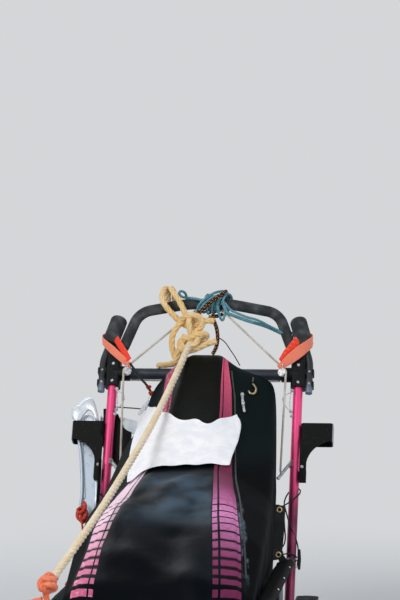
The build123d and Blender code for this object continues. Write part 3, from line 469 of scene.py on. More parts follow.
def strap(points, facings, thick, widths):
    """Strap carried along a smooth line: its face turns evenly through the facings, and its width
    goes evenly through the widths, along the line."""
    path = evenly(spline(points), 0.003)
    run = travelled(path) / travelled(path)[-1]
    facing = np.stack([np.interp(run, np.linspace(0, 1, len(facings)), axis)
                       for axis in np.transpose(facings)], 1)
    _, normal, binormal = frames(path, facing)
    width = np.interp(run, np.linspace(0, 1, len(widths)), widths)[:, None, None]
    profile = strap_profile(1.0, thick)
    skin = path[:, None] + width * profile[:, :1] * normal[:, None] + profile[:, 1:] * binormal[:, None]
    ends = np.broadcast_to(path[[0, -1], None], (2, len(profile), 3))
    return np.concatenate((ends[:1], skin, ends[1:]))


webbing_thick = 0.0022
outer_line = [(0.262, 0.645, 0.845), (0.284, 0.642, 0.845), (0.2990, 0.628, 0.842), (0.3000, 0.609, 0.838),
              (0.2920, 0.594, 0.831), (0.275, 0.581, 0.819), (0.248, 0.564, 0.798), (0.209, 0.543, 0.768)]
outer_faces = [(0.1, 1, 0), (1, 0.7, 0), (1, 0.05, 0), (0.9, -0.45, 0), (0.5, -0.86, 0), (0.36, -0.93, 0),
               (0.36, -0.93, 0), (0.36, -0.93, 0)]
inner_line = [(0.260, 0.604, 0.844), (0.250, 0.590, 0.831), (0.234, 0.572, 0.811), (0.214, 0.550, 0.787)]
seam_line = [(0.2345, 0.5493, 0.7875), (0.2275, 0.5460, 0.7760), (0.2215, 0.5425, 0.7665)]
for name, side, wide, low_width in (("l", -1, 0.024, 0.018), ("r", 1, 0.033, 0.024)):
    mirror = np.array((side, 1, 1))
    outer_leg = strap(outer_line * mirror, outer_faces * mirror, webbing_thick,
                      (wide, wide, wide, wide, (wide + low_width) / 2, 0.016))
    inner_leg = strap(inner_line * mirror, np.array([(0.25, -0.96, 0.1)] * 2) * mirror, webbing_thick,
                      (low_width, low_width, low_width, 0.014))
    stitches = strap(seam_line * mirror, np.array([(0.36, -0.93, 0)] * 2) * mirror, 0.0012, (0.0016, 0.0016))
    sling = surface(f"sling_webbing_{name}", orange_webbing, [outer_leg, inner_leg, stitches])
    # Points of the inner leg get the mark for the painted shade.
    mark = sling.data.attributes.new("redder", "FLOAT", "POINT")
    spots = np.empty(len(sling.data.vertices) * 3)
    sling.data.vertices.foreach_get("co", spots)
    spots = spots.reshape(-1, 3)
    far = np.linalg.norm(spots[:, None] - inner_leg.reshape(-1, 3)[None, ::5], axis=2).min(axis=1)
    mark.data.foreach_set("value", (far < 0.004).astype(float))
    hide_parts(f"sling_{name}")
    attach(sling, "sled")

# Hook holders: bent black polyethylene sheet, bolted outside the stanchions, faintly scraped, and with a
# painted highlight along its cut outer edge. At -X a second sheet, the ear, stands behind the stanchion.
holder_sheet = Finish("holder_sheet", srgb(8, 10, 10), 0.55, specular_ior_level=0.15)
scrapes = holder_sheet.noise(0.004, 4.0, holder_sheet.place((1.0, 1.0, 0.2)), 0.65).step(0.58, 0.8)
# A pale band along the sheet's cut outer edge: a painted highlight.
painted_edge_highlight = holder_sheet.coordinate("X").math("ABSOLUTE").step(0.3645, 0.3655)
holder_sheet.feed("Base Color",
                  holder_sheet.blend(scrapes * 0.12 + painted_edge_highlight * 0.8, srgb(7, 10, 9), srgb(170, 176, 182)))
holder_sheet.relief(scrapes, 0.0003)
dress(holder_sheet, *both("hook_holder"))


def cut_band(edge, other_edge, thick):
    """Plate that leans with the stanchions, between two edges given point for point in millimetres:
    an eight-sided section with bevelled corners goes across from one edge to the other, and both
    ends close to a point."""
    edge, other_edge = np.asarray(edge) / 1000, np.asarray(other_edge) / 1000
    across = np.array((0, 0.1, 0.9, 1, 1, 0.9, 0.1, 0))[None, :, None]
    out = np.array((0.4, 1, 1, 0.4, -0.4, -1, -1, -0.4))[None, :, None] * thick / 2
    plate = edge[:, None] * (1 - across) + other_edge[:, None] * across + out * np.round(forward, 4)
    ends = plate[[0, -1]].mean(axis=1, keepdims=True) + np.zeros((2, 8, 3))
    return np.concatenate((ends[:1], plate, ends[1:]))


holder_ear = surface("holder_ear", holder_sheet, [cut_band(
    [(-287, 538, 648), (-274, 538, 649), (-270, 519, 617), (-259, 518, 616), (-249, 531, 636),
     (-243, 529, 633), (-236, 519, 617), (-226, 509, 600), (-216, 504, 591), (-202, 500, 586)],
    [(-278, 472, 539), (-267, 472, 539), (-264, 471, 537), (-254, 471, 536), (-242, 469, 534),
     (-235, 465, 526), (-228, 458, 515), (-221, 460, 518), (-212, 469, 534), (-201, 485, 561)], 0.003)],
                     flat=True)
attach(holder_ear, "sled")


# Snow hook: a cast light-alloy plate hook with a rolled edge, parked in the -X holder. Its arch, the
# web inside the arch and the wider side of its plate are laid over the plain casting.
def bend(points):
    """Smooth line through space whose control points are given in millimetres."""
    return spline(np.array(points) / 1000)


light_alloy = Finish("light_alloy", srgb(196, 206, 216), 0.4, metallic=0.45, specular_ior_level=0.5)
casting = light_alloy.noise(0.004, 4.0)
bruised = light_alloy.noise(0.012, 5.0, rough=0.7).step(0.56, 0.70)
low_plate = 1 - light_alloy.coordinate("Z").step(0.55, 0.62)
plate_color = light_alloy.blend(low_plate * 0.8, srgb(212, 219, 227), srgb(178, 192, 208))
light_alloy.feed("Base Color", light_alloy.blend(bruised * 0.6, plate_color, srgb(124, 132, 140)))
light_alloy.relief(casting, 0.0004)
dress(light_alloy, "snow_hook")
rolled_edge = [(-348, 468, 569), (-340, 452, 541), (-334, 428, 502), (-329, 404, 461), (-326, 382, 425),
               (-328, 366, 398), (-331, 353, 377)]
hook_forms = surface("snow_hook_forms", light_alloy, [
    cut_band([(-372, 505, 624), (-374, 514, 638), (-375, 519, 648), (-355, 525, 658), (-340, 534, 672),
              (-328, 537, 678), (-316, 535, 674), (-308, 527, 660), (-303, 516, 642), (-295, 499, 614)],
             [(-358, 497, 611), (-352, 500, 616), (-345, 502, 619), (-340, 509, 631), (-333, 515, 640),
              (-326, 518, 646), (-319, 516, 643), (-314, 513, 637), (-309, 507, 627), (-303, 500, 615)],
              0.009),
    cut_band([(-347, 518, 615), (-344, 525, 626), (-337, 529, 633), (-326, 528, 632), (-315, 525, 626),
              (-305, 518, 614)],
             [(-347, 516, 611), (-343, 516, 611), (-335, 516, 611), (-324, 516, 611), (-313, 516, 611),
              (-305, 516, 611)], 0.003),
    cut_band([(-301, 451, 531), (-298, 428, 492), (-296, 411, 463), (-292, 385, 419), (-289, 359, 376)],
             [(-296, 444, 519), (-286, 428, 492), (-281, 412, 465), (-278, 385, 420), (-276, 360, 379)],
             0.003),
    carry(evenly(bend(rolled_edge), 0.004), circle(0.0045, 10))])
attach(hook_forms, "sled")

# Cargo bag: black coated nylon over a stuffed load that leans to the +X side, sewn from a top panel
# between two pink trim stripes and two side panels. Its rear wall leans with the stanchions.

# Each row: y, ridge height, half widths of the ridge's flat and edge, the edge's height, then
# half width and height of the -X shoulder and of the +X shoulder.
bag_rows = np.array([
    (-735, 215, 120, 165, 206, 212, 192, 212, 192), (-607, 336, 150, 204, 324, 236, 292, 236, 292),
    (-360, 455, 128, 176, 442, 240, 388, 240, 388), (-150, 510, 106, 149, 494, 238, 440, 238, 440),
    (20, 546, 84, 128, 530, 222, 470, 232, 462), (300, 682, 60, 100, 660, 204, 560, 220, 588),
    (420, 740, 50, 95, 713, 178, 600, 212, 655), (540, 798, 44, 90, 766, 150, 700, 203, 722),
    (640, 800, 42, 88, 768, 148, 704, 202, 736)]) / 1000
bag_floor, bag_foot, bag_front, wall_gap = 0.1503, 0.214, -0.735, 0.022
side_seam, edge_seam, flat_seam = 0.42, 0.66, 0.80


def bag_rib(y, left):
    """Half widths and heights of the bag's ridge, edge and shoulder at a distance y, on one side."""
    row = lambda column: np.interp(y, bag_rows[:, 0], bag_rows[:, column])
    shoulder = np.where(left, row(5), row(7)), np.where(left, row(6), row(8))
    return row(2), row(3), shoulder[0], row(1), row(4), shoulder[1]


def bag_section(y, around):
    """Half width and height of the bag's skin at a distance y, from -1 at the -X foot over 0 at the
    ridge to 1 at the +X foot: straight between foot, shoulder, edge, flat and middle."""
    flat_x, edge_x, side_x, ridge_z, edge_z, side_z = bag_rib(y, around < 0)
    share = 1 - np.abs(around)
    knots = (0.0, side_seam, edge_seam, flat_seam, 1.0)
    widths = (np.full_like(y, bag_foot), side_x, edge_x, flat_x, np.zeros_like(y))
    heights = (np.full_like(y, bag_floor), side_z, edge_z, ridge_z, ridge_z)
    piece = np.clip(np.searchsorted(knots, share, side="right") - 1, 0, 3)
    within = (share - np.array(knots)[piece]) / np.diff(knots)[piece]
    low_x, high_x = np.choose(piece, widths[:4]), np.choose(piece, widths[1:])
    low_z, high_z = np.choose(piece, heights[:4]), np.choose(piece, heights[1:])
    return low_x + (high_x - low_x) * within, low_z + (high_z - low_z) * within


def soften(grid, times, axis):
    """Each inner row becomes the mean of itself and its two neighbours, several times over."""
    grid = np.moveaxis(grid.copy(), axis, 0)
    for _ in range(times):
        grid[1:-1] = (grid[:-2] + grid[2:] + 2 * grid[1:-1]) / 4
    return np.moveaxis(grid, 0, axis)


rows, columns = 221, 161
reach = np.linspace(0, 1, rows)[:, None] * np.ones((1, columns))
around = np.ones((rows, 1)) * np.linspace(-1, 1, columns)[None]
share = 1 - np.abs(around)
y = bag_front + 1.33 * reach
for _ in range(14):  # the rear wall's place depends on the height, and the height on the place
    half, height = bag_section(y, around)
    y = bag_front + (foot_y + (height - foot_z) * lean - wall_gap - bag_front) * reach
skin = np.stack((half * np.sign(around), y, height), -1)
skin = soften(soften(skin, 9, 1), 7, 0)
place_x, place_y = skin[..., 0], skin[..., 1]


def crease(start, end, wide, depth):
    """Fold along a line seen from above: a bell of its distance from the line, fading at both ends."""
    start, end = np.array(start), np.array(end)
    run = end - start
    length = np.linalg.norm(run)
    run = run / length
    ahead = (place_x - start[0]) * run[0] + (place_y - start[1]) * run[1]
    aside = (place_x - start[0]) * run[1] - (place_y - start[1]) * run[0]
    fade = np.clip(ahead / length * 4, 0, 1) * np.clip((1 - ahead / length) * 4, 0, 1)
    return depth * fade * np.exp(-(aside / wide) ** 2)


def fold(start, end, wide, depth):
    """Fold along a line seen from the side, on the shoulders' outer faces."""
    start, end = np.array(start), np.array(end)
    run = end - start
    length = np.linalg.norm(run)
    run = run / length
    ahead = (skin[..., 1] - start[0]) * run[0] + (skin[..., 2] - start[1]) * run[1]
    aside = (skin[..., 1] - start[0]) * run[1] - (skin[..., 2] - start[1]) * run[0]
    fade = np.clip(ahead / length * 3, 0, 1) * np.clip((1 - ahead / length) * 3, 0, 1)
    return depth * fade * np.exp(-(aside / wide) ** 2) * (share < 0.60)


# Slack cloth between the load's corners: long soft folds on the top panel, and folds that hang from
# the shoulders down the side panels.
lift_by = np.zeros_like(share)
for line in (
    ((0.08, 0.06), (-0.08, -0.20), 0.040, 0.010), ((0.04, 0.05), (-0.14, -0.26), 0.030, -0.008),
    ((0.10, -0.08), (0.02, -0.38), 0.036, -0.006), ((-0.15, -0.16), (-0.04, -0.60), 0.046, 0.010),
    ((0.11, -0.22), (-0.02, -0.64), 0.050, -0.008), ((-0.18, -0.46), (0.14, -0.62), 0.040, 0.009),
    ((0.02, -0.34), (0.13, -0.70), 0.034, 0.008), ((-0.02, 0.56), (0.01, 0.34), 0.030, -0.004),
    ((-0.13, -0.34), (0.07, -0.44), 0.034, -0.006), ((-0.10, -0.66), (0.10, -0.70), 0.024, -0.006),
):
    lift_by = lift_by + crease(*line)
for line in (
    ((0.30, 0.56), (0.12, 0.24), 0.022, 0.006), ((0.20, 0.52), (0.02, 0.22), 0.018, -0.006),
    ((0.05, 0.47), (-0.06, 0.20), 0.024, 0.006), ((-0.10, 0.45), (-0.14, 0.18), 0.020, -0.006),
    ((-0.24, 0.42), (-0.30, 0.18), 0.022, 0.006), ((-0.42, 0.36), (-0.44, 0.17), 0.020, -0.005),
    ((-0.55, 0.30), (-0.50, 0.17), 0.020, 0.005), ((0.40, 0.60), (0.30, 0.30), 0.020, -0.005),
    ((-0.70, 0.19), (-0.20, 0.20), 0.016, 0.004), ((-0.10, 0.22), (0.24, 0.24), 0.014, -0.004),
):
    lift_by = lift_by + fold(*line)
span = bag_rib(place_y, around < 0)[1]
seam_gap = np.abs(np.abs(place_x) - span)
lift_by = lift_by - 0.003 * np.exp(-(seam_gap / 0.005) ** 2) * (share > 0.5)
beyond_bib = np.clip((-0.01 - place_y) / 0.06, 0, 1) + np.clip((place_y - 0.36) / 0.06, 0, 1)
lift_by = lift_by * np.where(share > 0.6, beyond_bib, 1)
normal = np.cross(np.gradient(skin, axis=1), np.gradient(skin, axis=0))
normal /= np.linalg.norm(normal, axis=2, keepdims=True) + 1e-9
inside = np.clip(share / 0.12, 0, 1) * np.clip(reach * 14, 0, 1) * np.clip((1 - reach) * 14, 0, 1)
skin = skin + normal * (lift_by * inside)[..., None]

# The trim stripes: their inner and outer edges along the bag, in millimetres from its middle. The
# chart's second number counts from 1 at a stripe's inner edge to 2 at its outer edge, and is
# negative on the -X side.
stripe_y = (-735, -600, -450, -300, -150, 0, 150, 300, 420, 540, 640)
left_in = (150, 156, 154, 131, 117, 100, 84, 70, 74, 82, 82)
left_out = (212, 212, 194, 188, 160, 130, 112, 101, 104, 109, 109)
right_in = (143, 135, 120, 104, 92, 79, 73, 67, 58, 52, 48)
right_out = (212, 207, 192, 172, 152, 128, 113, 100, 88, 67, 60)
stripe_in, stripe_out = (np.where(around < 0, np.interp(place_y * 1000, stripe_y, left),
                                  np.interp(place_y * 1000, stripe_y, right))
                         for left, right in ((left_in, right_in), (left_out, right_out)))
over_stripe = (np.abs(place_x) * 1000 - stripe_in) / (stripe_out - stripe_in)
over_stripe = np.clip(np.where(share > side_seam, over_stripe, 1.3), -0.8, 1.3)
bag_chart = np.stack((travelled(skin[:, columns // 2])[:, None] * np.ones((1, columns)),
                      np.sign(around) * (1 + over_stripe)), -1)

# The bag's finish: a coating with dust, whose pale bluish patches are also painted sky sheen, a painted
# sheen patch on the front panel, painted shade on the side panels and painted highlights beside the +X
# stripe, and the stripes in pink print, cut by bars at an even pitch, whose colour carries painted light and
# shade.
coated = Finish("bag_fabric", srgb(12, 15, 18), 0.5, specular_ior_level=0.05)
along, across = coated.cloth()
along = along + coated.noise(0.03, 3.0) * 0.006
right_side = across.step(-0.05, 0.05)
width_share = across.math("ABSOLUTE")
inner = width_share.step(0.995, 1.010) * (1 - width_share.step(1.185, 1.205))
outer = width_share.step(1.268, 1.286) * (1 - width_share.step(1.985, 2.0))
low_share = 1 - along.step(0.16, 0.52)
bar_pitch, bar_slant = 0.0405, 0.020
rung = along - (width_share - 1.0) * bar_slant
bars = rung.wave(bar_pitch).step(0.91, 0.94) + rung.wave(bar_pitch).step(0.58, 0.66) * low_share
bars = bars.math("MINIMUM", 1.0) * (1 - along.step(0.600, 0.640))
pink = (inner + outer) * (1 - bars)
ramp_length = 1.5
length_share = along / ramp_length


def print_and_light_along(*stops):
    """Colour that goes evenly through paint chips given at distances in metres from the bag's front."""
    chips = [(at / ramp_length, srgb(*chip)) for at, chip in stops]
    return coated.node("ShaderNodeValToRGB", {"stops": chips}, {"Fac": length_share})


# Each stripe's colour along the bag is its pink print with painted light on the -X stripe and painted shade
# on the +X stripe, which is darkest low down and under the bib.
left_print_and_light = print_and_light_along((0.14, (205, 96, 135)), (0.28, (226, 130, 165)), (0.40, (236, 176, 204)),
                 (0.50, (248, 214, 232)), (0.66, (244, 210, 230)), (0.80, (248, 226, 240)),
                 (0.92, (190, 90, 120)), (1.30, (172, 64, 98)))
right_print_and_shade = print_and_light_along((0.14, (94, 42, 70)), (0.30, (128, 60, 96)), (0.42, (174, 104, 150)),
                  (0.54, (216, 138, 192)), (0.64, (184, 104, 152)), (0.74, (130, 70, 100)),
                  (0.84, (108, 54, 74)), (1.10, (146, 62, 90)), (1.24, (186, 80, 110)),
                  (1.38, (226, 96, 126)))
mottled = coated.noise(0.010, 5.0, rough=0.62)
hue = coated.blend(right_side, left_print_and_light, right_print_and_shade)
# Noise patches pushed paler on the -X stripe and darker on the +X stripe: painted light and shade.
hue = coated.blend(mottled.step(0.48, 0.66) * 0.35, hue,
                   coated.blend(right_side, srgb(252, 236, 244), srgb(134, 46, 80)))
# Large pale bluish patches: dust, and also painted sky sheen on the black cloth.
dust_and_sheen = coated.noise(0.15, 3.0, coated.place((1.0, 0.7, 1.0)), 0.5).step(0.46, 0.82)
on_top = coated.coordinate("Z").step(0.52, 0.58)
# A paler slate patch on the front panel, fading in and out along it and broken by noise: painted sheen.
painted_sheen = along.step(0.40, 0.60) * (1 - along.step(0.70, 0.84)) * (1 - on_top)
painted_sheen = painted_sheen * (1 - width_share.step(0.9, 1.0))
painted_sheen = painted_sheen * coated.noise(0.11, 2.0, coated.place((1.0, 0.8, 1.0))).step(0.36, 0.68)
black_cloth = coated.blend(dust_and_sheen * 0.6, srgb(5, 12, 18), srgb(24, 38, 50))
black_cloth = coated.blend(on_top, black_cloth, srgb(14, 17, 14))
black_cloth = coated.blend(painted_sheen * 0.95, black_cloth, srgb(66, 82, 97))
# The side panels beyond the stripes are darkened further: painted shade.
black_cloth = coated.blend(width_share.step(2.04, 2.26) * 0.92, black_cloth,
                           coated.blend(on_top, srgb(4, 9, 13), srgb(18, 28, 30)))
# Pale slate marks on the +X side panel next to the stripe: painted highlights.
painted_highlight_streaks = coated.noise(0.016, 4.0, coated.place((1.0, 0.25, 0.6)), 0.6).step(0.44, 0.68)
beside = across.step(2.0, 2.03) * (1 - across.step(2.20, 2.29))
beside = beside * along.step(0.22, 0.32) * (1 - along.step(0.60, 0.72))
black_cloth = coated.blend(painted_highlight_streaks * beside * 0.8, black_cloth, srgb(112, 128, 148))
coated.feed("Base Color", coated.blend(pink, black_cloth, hue))
coated.feed("Roughness", pink * 0.18 + dust_and_sheen * 0.10 + width_share.step(2.04, 2.26) * 0.20 + 0.52)
weave = coated.noise(0.0011, 2.0)
crumple = coated.noise(0.028, 4.0, coated.place((1.0, 0.6, 1.0)), 0.5)
puckers = (along.wave(0.009) * 0.4 + mottled * 0.6) * pink
coated.relief(weave * 0.05 + crumple * 0.55 + puckers * 0.40, 0.0024)


def closing(profile):
    """Wall between the two halves of a section: each point slides straight to its partner."""
    half_rows = columns // 2 + 1
    part = np.linspace(0, 1, 25)[None, :, None]
    return profile[:half_rows, None] * (1 - part) + profile[::-1][:half_rows, None] * part


rear_wall, front_wall = closing(skin[-1]), closing(skin[0])[:, ::-1]
under = np.linspace(1, 0, 25)[None, :, None]
floor_wall = skin[:, :1] * (1 - under) + skin[:, -1:] * under
plain = [np.full(wall.shape[:2] + (2,), 2.3) for wall in (rear_wall, front_wall, floor_wall)]
bag = surface("cargo_bag", coated, [skin, rear_wall, front_wall, floor_wall], closed=False,
              charts=[bag_chart] + plain, weld=2e-5)
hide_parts("sled_bag")
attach(bag, "sled")

# Bib: a blank sheet of white nonwoven cloth laid over the bag's ridge. Its outline in plan is
# filled by a Coons patch, and its corners curl.
bib_white = Finish("bib_fabric", srgb(236, 237, 241), 0.72, sheen_weight=0.1, specular_ior_level=0.3)
creased = bib_white.noise(0.035, 5.0, rough=0.6)
bib_white.feed("Base Color",
               bib_white.blend(creased.step(0.35, 0.7), srgb(238, 239, 246), srgb(252, 252, 254)))
bib_white.relief(creased * 0.8 + bib_white.noise(0.0008) * 0.05, 0.006)
edges = [evenly(spline(np.c_[np.array(points) / 1000, np.zeros(len(points))]), 0.0005)[:, :2] for points in (
    [(-150, 452), (-112, 322), (-65, 244), (-28, 212), (-6, 214), (10, 230), (34, 208), (52, 212),
     (84, 256), (114, 290)],
    [(-140, -84), (-120, -34), (-97, -6), (-60, 2), (-26, 8), (39, 22), (117, 36)],
    [(-150, 452), (-164, 410), (-170, 290), (-168, 190), (-158, 90), (-150, -10), (-140, -84)],
    [(114, 290), (128, 264), (131, 226), (127, 160), (121, 82), (117, 36)])]
bib_rows, bib_columns = 110, 90
pick = lambda edge, count: edge[np.linspace(0, len(edge) - 1, count).round().astype(int)]
top_edge, low_edge = pick(edges[0], bib_columns)[None], pick(edges[1], bib_columns)[None]
left_edge, right_edge = pick(edges[2], bib_rows)[:, None], pick(edges[3], bib_rows)[:, None]
over, down = np.linspace(0, 1, bib_columns)[None, :, None], np.linspace(0, 1, bib_rows)[:, None, None]
corners = ((1 - over) * (1 - down) * top_edge[:, :1] + over * (1 - down) * top_edge[:, -1:]
           + (1 - over) * down * low_edge[:, :1] + over * down * low_edge[:, -1:])
plan = (1 - down) * top_edge + down * low_edge + (1 - over) * left_edge + over * right_edge - corners


def bag_top(x, y):
    """Height of the bag over a point: straight between ridge, edge and shoulder of its side."""
    flat_x, edge_x, side_x, ridge_z, edge_z, side_z = bag_rib(y, x < 0)
    near = np.clip((np.abs(x) - flat_x) / (edge_x - flat_x), 0, 1)
    far = np.clip((np.abs(x) - edge_x) / (side_x - edge_x), 0, 1)
    return ridge_z + near * (edge_z - ridge_z) + far * (side_z - edge_z)


bib_z = soften(soften(bag_top(plan[..., 0], plan[..., 1]), 8, 1), 8, 0)
over, down = over[..., 0], down[..., 0]
ripple = 0.0030 * np.sin(over * 13 + down * 3) * (1 - down) ** 2 + 0.0022 * np.sin(down * 11 + over * 6)
ripple = ripple + 0.0020 * np.sin(over * 31 + down * 17) * np.sin(down * 9 + 1)
curl = (0.005 * np.clip((over - 0.88) / 0.12, 0, 1) ** 2 + 0.003 * np.clip((0.08 - over) / 0.08, 0, 1) ** 2
        + 0.003 * np.clip((0.06 - down) / 0.06, 0, 1) ** 2 + 0.002 * np.clip((down - 0.95) / 0.05, 0, 1) ** 2)
bib = surface("bib_cloth", bib_white, [np.dstack((plan, bib_z + ripple + curl + 0.0065))[::-1]], closed=False)
thicken = bib.modifiers.new("thickness", "SOLIDIFY")
thicken.thickness = 0.0008
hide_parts("bib")
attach(bib, "sled")


# Bag fittings: a coil zip beside the +X stripe with two pulls, brass grommets on tabs at the rear
# corners, a brass hook on a short cord, and a thin cord from the bag's mouth to the rope.
def on_bag(x, rows):
    """Points where a line x, given for each row, crosses the bag's skin, between two columns."""
    column = (skin[rows, :, 0] < x[:, None]).sum(axis=1)
    low, high = skin[rows, column - 1], skin[rows, column]
    return low + (high - low) * ((x - low[:, 0]) / (high[:, 0] - low[:, 0]))[:, None]


black_cord = rope_finish("black_cord", srgb(40, 42, 46), srgb(12, 13, 15), fibre=0.0008)
zip_rows = np.arange(40, 212, 2)
zip_y = skin[zip_rows, columns // 2, 1] * 1000
zip_line = on_bag((np.interp(zip_y, stripe_y, right_out) + 9) / 1000, zip_rows) + (0.0012, -0.0010, 0.0010)
zip_tape = surface("bag_zip", black_cord, [carry(evenly(zip_line, 0.004), circle(0.0024, 8))])
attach(zip_tape, "sled")


def pull(start, end, wide):
    """Zip pull: a slider block, a narrow neck and a tab with a rounded end, as one turned outline
    along the line from start to end."""
    length = np.linalg.norm(np.subtract(end, start))
    return turned(start, np.subtract(end, start), [
        (0, -0.004), (wide, -0.004), (wide, 0.005), (wide * 0.3, 0.006), (wide * 0.3, 0.009),
        (wide * 0.7, 0.011), (wide * 0.75, length - 0.004), (wide * 0.5, length), (0, length)])


pulls = surface("zip_pulls", dull_steel, [pull((0.1180, 0.412, 0.7040), (0.1222, 0.378, 0.6890), 0.0052),
                                         pull((0.1238, 0.371, 0.6850), (0.1305, 0.336, 0.6635), 0.0052)])
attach(pulls, "sled")
brass = Finish("brass", srgb(196, 176, 132), 0.4, metallic=0.8)
brass.feed("Base Color",
           brass.blend(brass.noise(0.004, 3.0).step(0.4, 0.7), srgb(206, 184, 138), srgb(120, 100, 66)))


def grommet(at, axis, size):
    """Grommet: a rolled ring round a hole, as one turned outline."""
    return turned(at, axis,
                  [(size * 0.45, -0.001), (size, -0.001), (size, 0.0008), (size * 0.8, 0.0022),
                   (size * 0.55, 0.0018), (size * 0.45, 0.0004), (size * 0.45, -0.001)])


ring_axis = (0.15, -0.98, 0.1)
ring_places = [(side, side * x, y, z) for side in (-1, 1)
               for x, y, z in ((0.2285, 0.318, 0.398), (0.2310, 0.250, 0.284))]
rings = [grommet((x, y - 0.0035, z), ring_axis, 0.0088) for _, x, y, z in ring_places]
ring_tabs = surface("grommet_tabs", black_cord, [strap(
    np.array([(x - side * 0.016, y - 0.012, z), (x, y + 0.0022, z), (x + side * 0.013, y + 0.006, z)]),
    np.array([ring_axis] * 2), 0.0018, (0.030, 0.028, 0.016)) for side, x, y, z in ring_places])
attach(ring_tabs, "sled")
hook_bend = bend([(141, 491, 726), (148, 480, 720), (152, 469, 714), (152, 458, 709), (148, 447, 704),
                  (142, 440, 703), (136, 439, 706), (133, 445, 711)])
brass_bits = surface("brass_fittings", brass, rings + [carry(hook_bend, circle(0.0030, 8))])
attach(brass_bits, "sled")
mouth_cords = surface("mouth_cords", black_cord, [carry(bend(run), circle(radius, 8)) for run, radius in (
    ([(34, 612, 846), (48, 622, 838), (66, 616, 812), (82, 600, 792), (96, 588, 770)], 0.0015),
    ([(-250, 516, 656), (-222, 508, 655), (-190, 502, 654), (-166, 498, 652)], 0.0017),
    ([(137, 558, 736), (138, 540, 742), (139, 515, 737), (140, 498, 730)], 0.0024))])
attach(mouth_cords, "sled")


# Rail hems: the black cloth of the bag's skirt, wrapped round each side rail and held by small
# steel rivets. Larger ones fasten the bed's sheet to the tubes under it.
def rail_height(y):
    """Height of a side rail's middle: straight from the stanchion to its front end."""
    return 0.262 + (0.288 - y) / 0.928 * 0.0122


hem_cloth = Finish("hem_cloth", srgb(8, 9, 11), 0.8, specular_ior_level=0.12)
hem_cloth.feed("Base Color",
               hem_cloth.blend(hem_cloth.noise(0.03, 4.0).step(0.45, 0.75), srgb(4, 5, 7), srgb(22, 25, 29)))
hem_cloth.relief(hem_cloth.noise(0.012, 3.0), 0.0012)
hem_grids, hem_rivets = [], []
for side in (-1, 1):
    hem_y = np.linspace(0.232, -0.552, 90)
    slack = 0.0008 * np.sin(hem_y * 23) + 0.0004 * np.sin(hem_y * 61 + side)
    hem_path = np.stack((side * np.full_like(hem_y, half_track), hem_y, rail_height(hem_y)), 1)
    turn = np.linspace(-0.62 * math.pi, 0.62 * math.pi, 15)
    hug = np.r_[np.stack((0.0124 * np.cos(turn), 0.0124 * np.sin(turn)), 1),
                [(-0.020, 0.0075), (-0.034, 0.0022), (-0.034, -0.0022), (-0.020, -0.0075)]]
    hem_grids.append(carry(hem_path, hug * (side, 1), 1 + slack * 30, facing=(0, 0, 1)))
    hem_rivets += [bolt((side * 0.2725, y, rail_height(y) + 0.0085), (side * 0.7, 0, 0.7), 0.0026)
                   for y in (-0.50, -0.30, -0.10, 0.10)]
hems = surface("rail_hems", hem_cloth, hem_grids)
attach(hems, "sled")
rivets = surface("hem_rivets", steel, hem_rivets + [
    bolt((x, y, 0.1504), (0, 0, 1), 0.0040) for x in (-0.218, 0.218)
    for y in (-0.70, -0.445, -0.30, -0.126, 0.03, 0.185)])
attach(rivets, "sled")

# Lacing: black cord, 4 mm thick, from each rear grommet round the stanchion and down to the rail,
# closed by a toggle with two pale beads. A webbing strap joins the two grommets of a side.
lace_grids, bead_grids = [], []
for side in (-1, 1):
    mirror = (side, 1, 1)
    for run in (
        [(219, 318, 396), (232, 330, 403), (248, 350, 410), (264, 362, 420), (279, 372, 432),
         (283, 388, 442), (272, 404, 448), (252, 404, 440), (241, 386, 424), (238, 360, 410),
         (242, 346, 399), (247, 338, 384), (254, 328, 362), (266, 318, 336), (278, 312, 310),
         (282, 304, 288), (281, 296, 268), (280, 288, 244)],
        [(242, 346, 398), (240, 336, 376), (243, 322, 345), (247, 306, 316), (240, 284, 296),
         (219, 250, 284)],
        [(219, 250, 283), (238, 262, 282), (258, 276, 284), (277, 282, 278), (279, 292, 262),
         (262, 300, 246), (246, 284, 252), (244, 262, 268)],
    ):
        lace_grids.append(carry(evenly(bend(np.array(run) * mirror), 0.003), circle(0.0020, 8)))
    lace_grids.append(strap(
        np.array([(0.284, 0.298, 0.292), (0.286, 0.292, 0.268), (0.285, 0.285, 0.238)]) * mirror,
        np.array([(side * 0.3, -0.95, 0)] * 2), 0.0030, (0.008, 0.010, 0.007)))
    bead_grids += [turned((side * 0.276, 0.289, z), (0, -1, 0.2),
                          [(0, -0.004), (0.004, -0.003), (0.005, 0), (0.004, 0.003), (0, 0.004)])
                   for z in (0.268, 0.246)]
    lace_grids.append(strap(
        np.array([(0.2270, 0.322, 0.408), (0.2280, 0.322, 0.396), (0.2270, 0.308, 0.372),
                  (0.2265, 0.286, 0.330), (0.2260, 0.262, 0.290)]) * mirror,
        np.array([(side * 0.2, -0.97, 0.1)] * 2), 0.0018, (0.022, 0.036, 0.034, 0.030)))
    lace_grids.append(strap(
        np.array([(0.2340, 0.248, 0.286), (0.2400, 0.244, 0.274), (0.2480, 0.246, 0.262)]) * mirror,
        np.array([(side * 0.2, -0.97, 0.1)] * 2), 0.0018, (0.016, 0.020, 0.022)))
lacing = surface("stanchion_lacing", black_cord, lace_grids)
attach(lacing, "sled")
beads = surface("lace_beads", sole_plastic, bead_grids)
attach(beads, "sled")

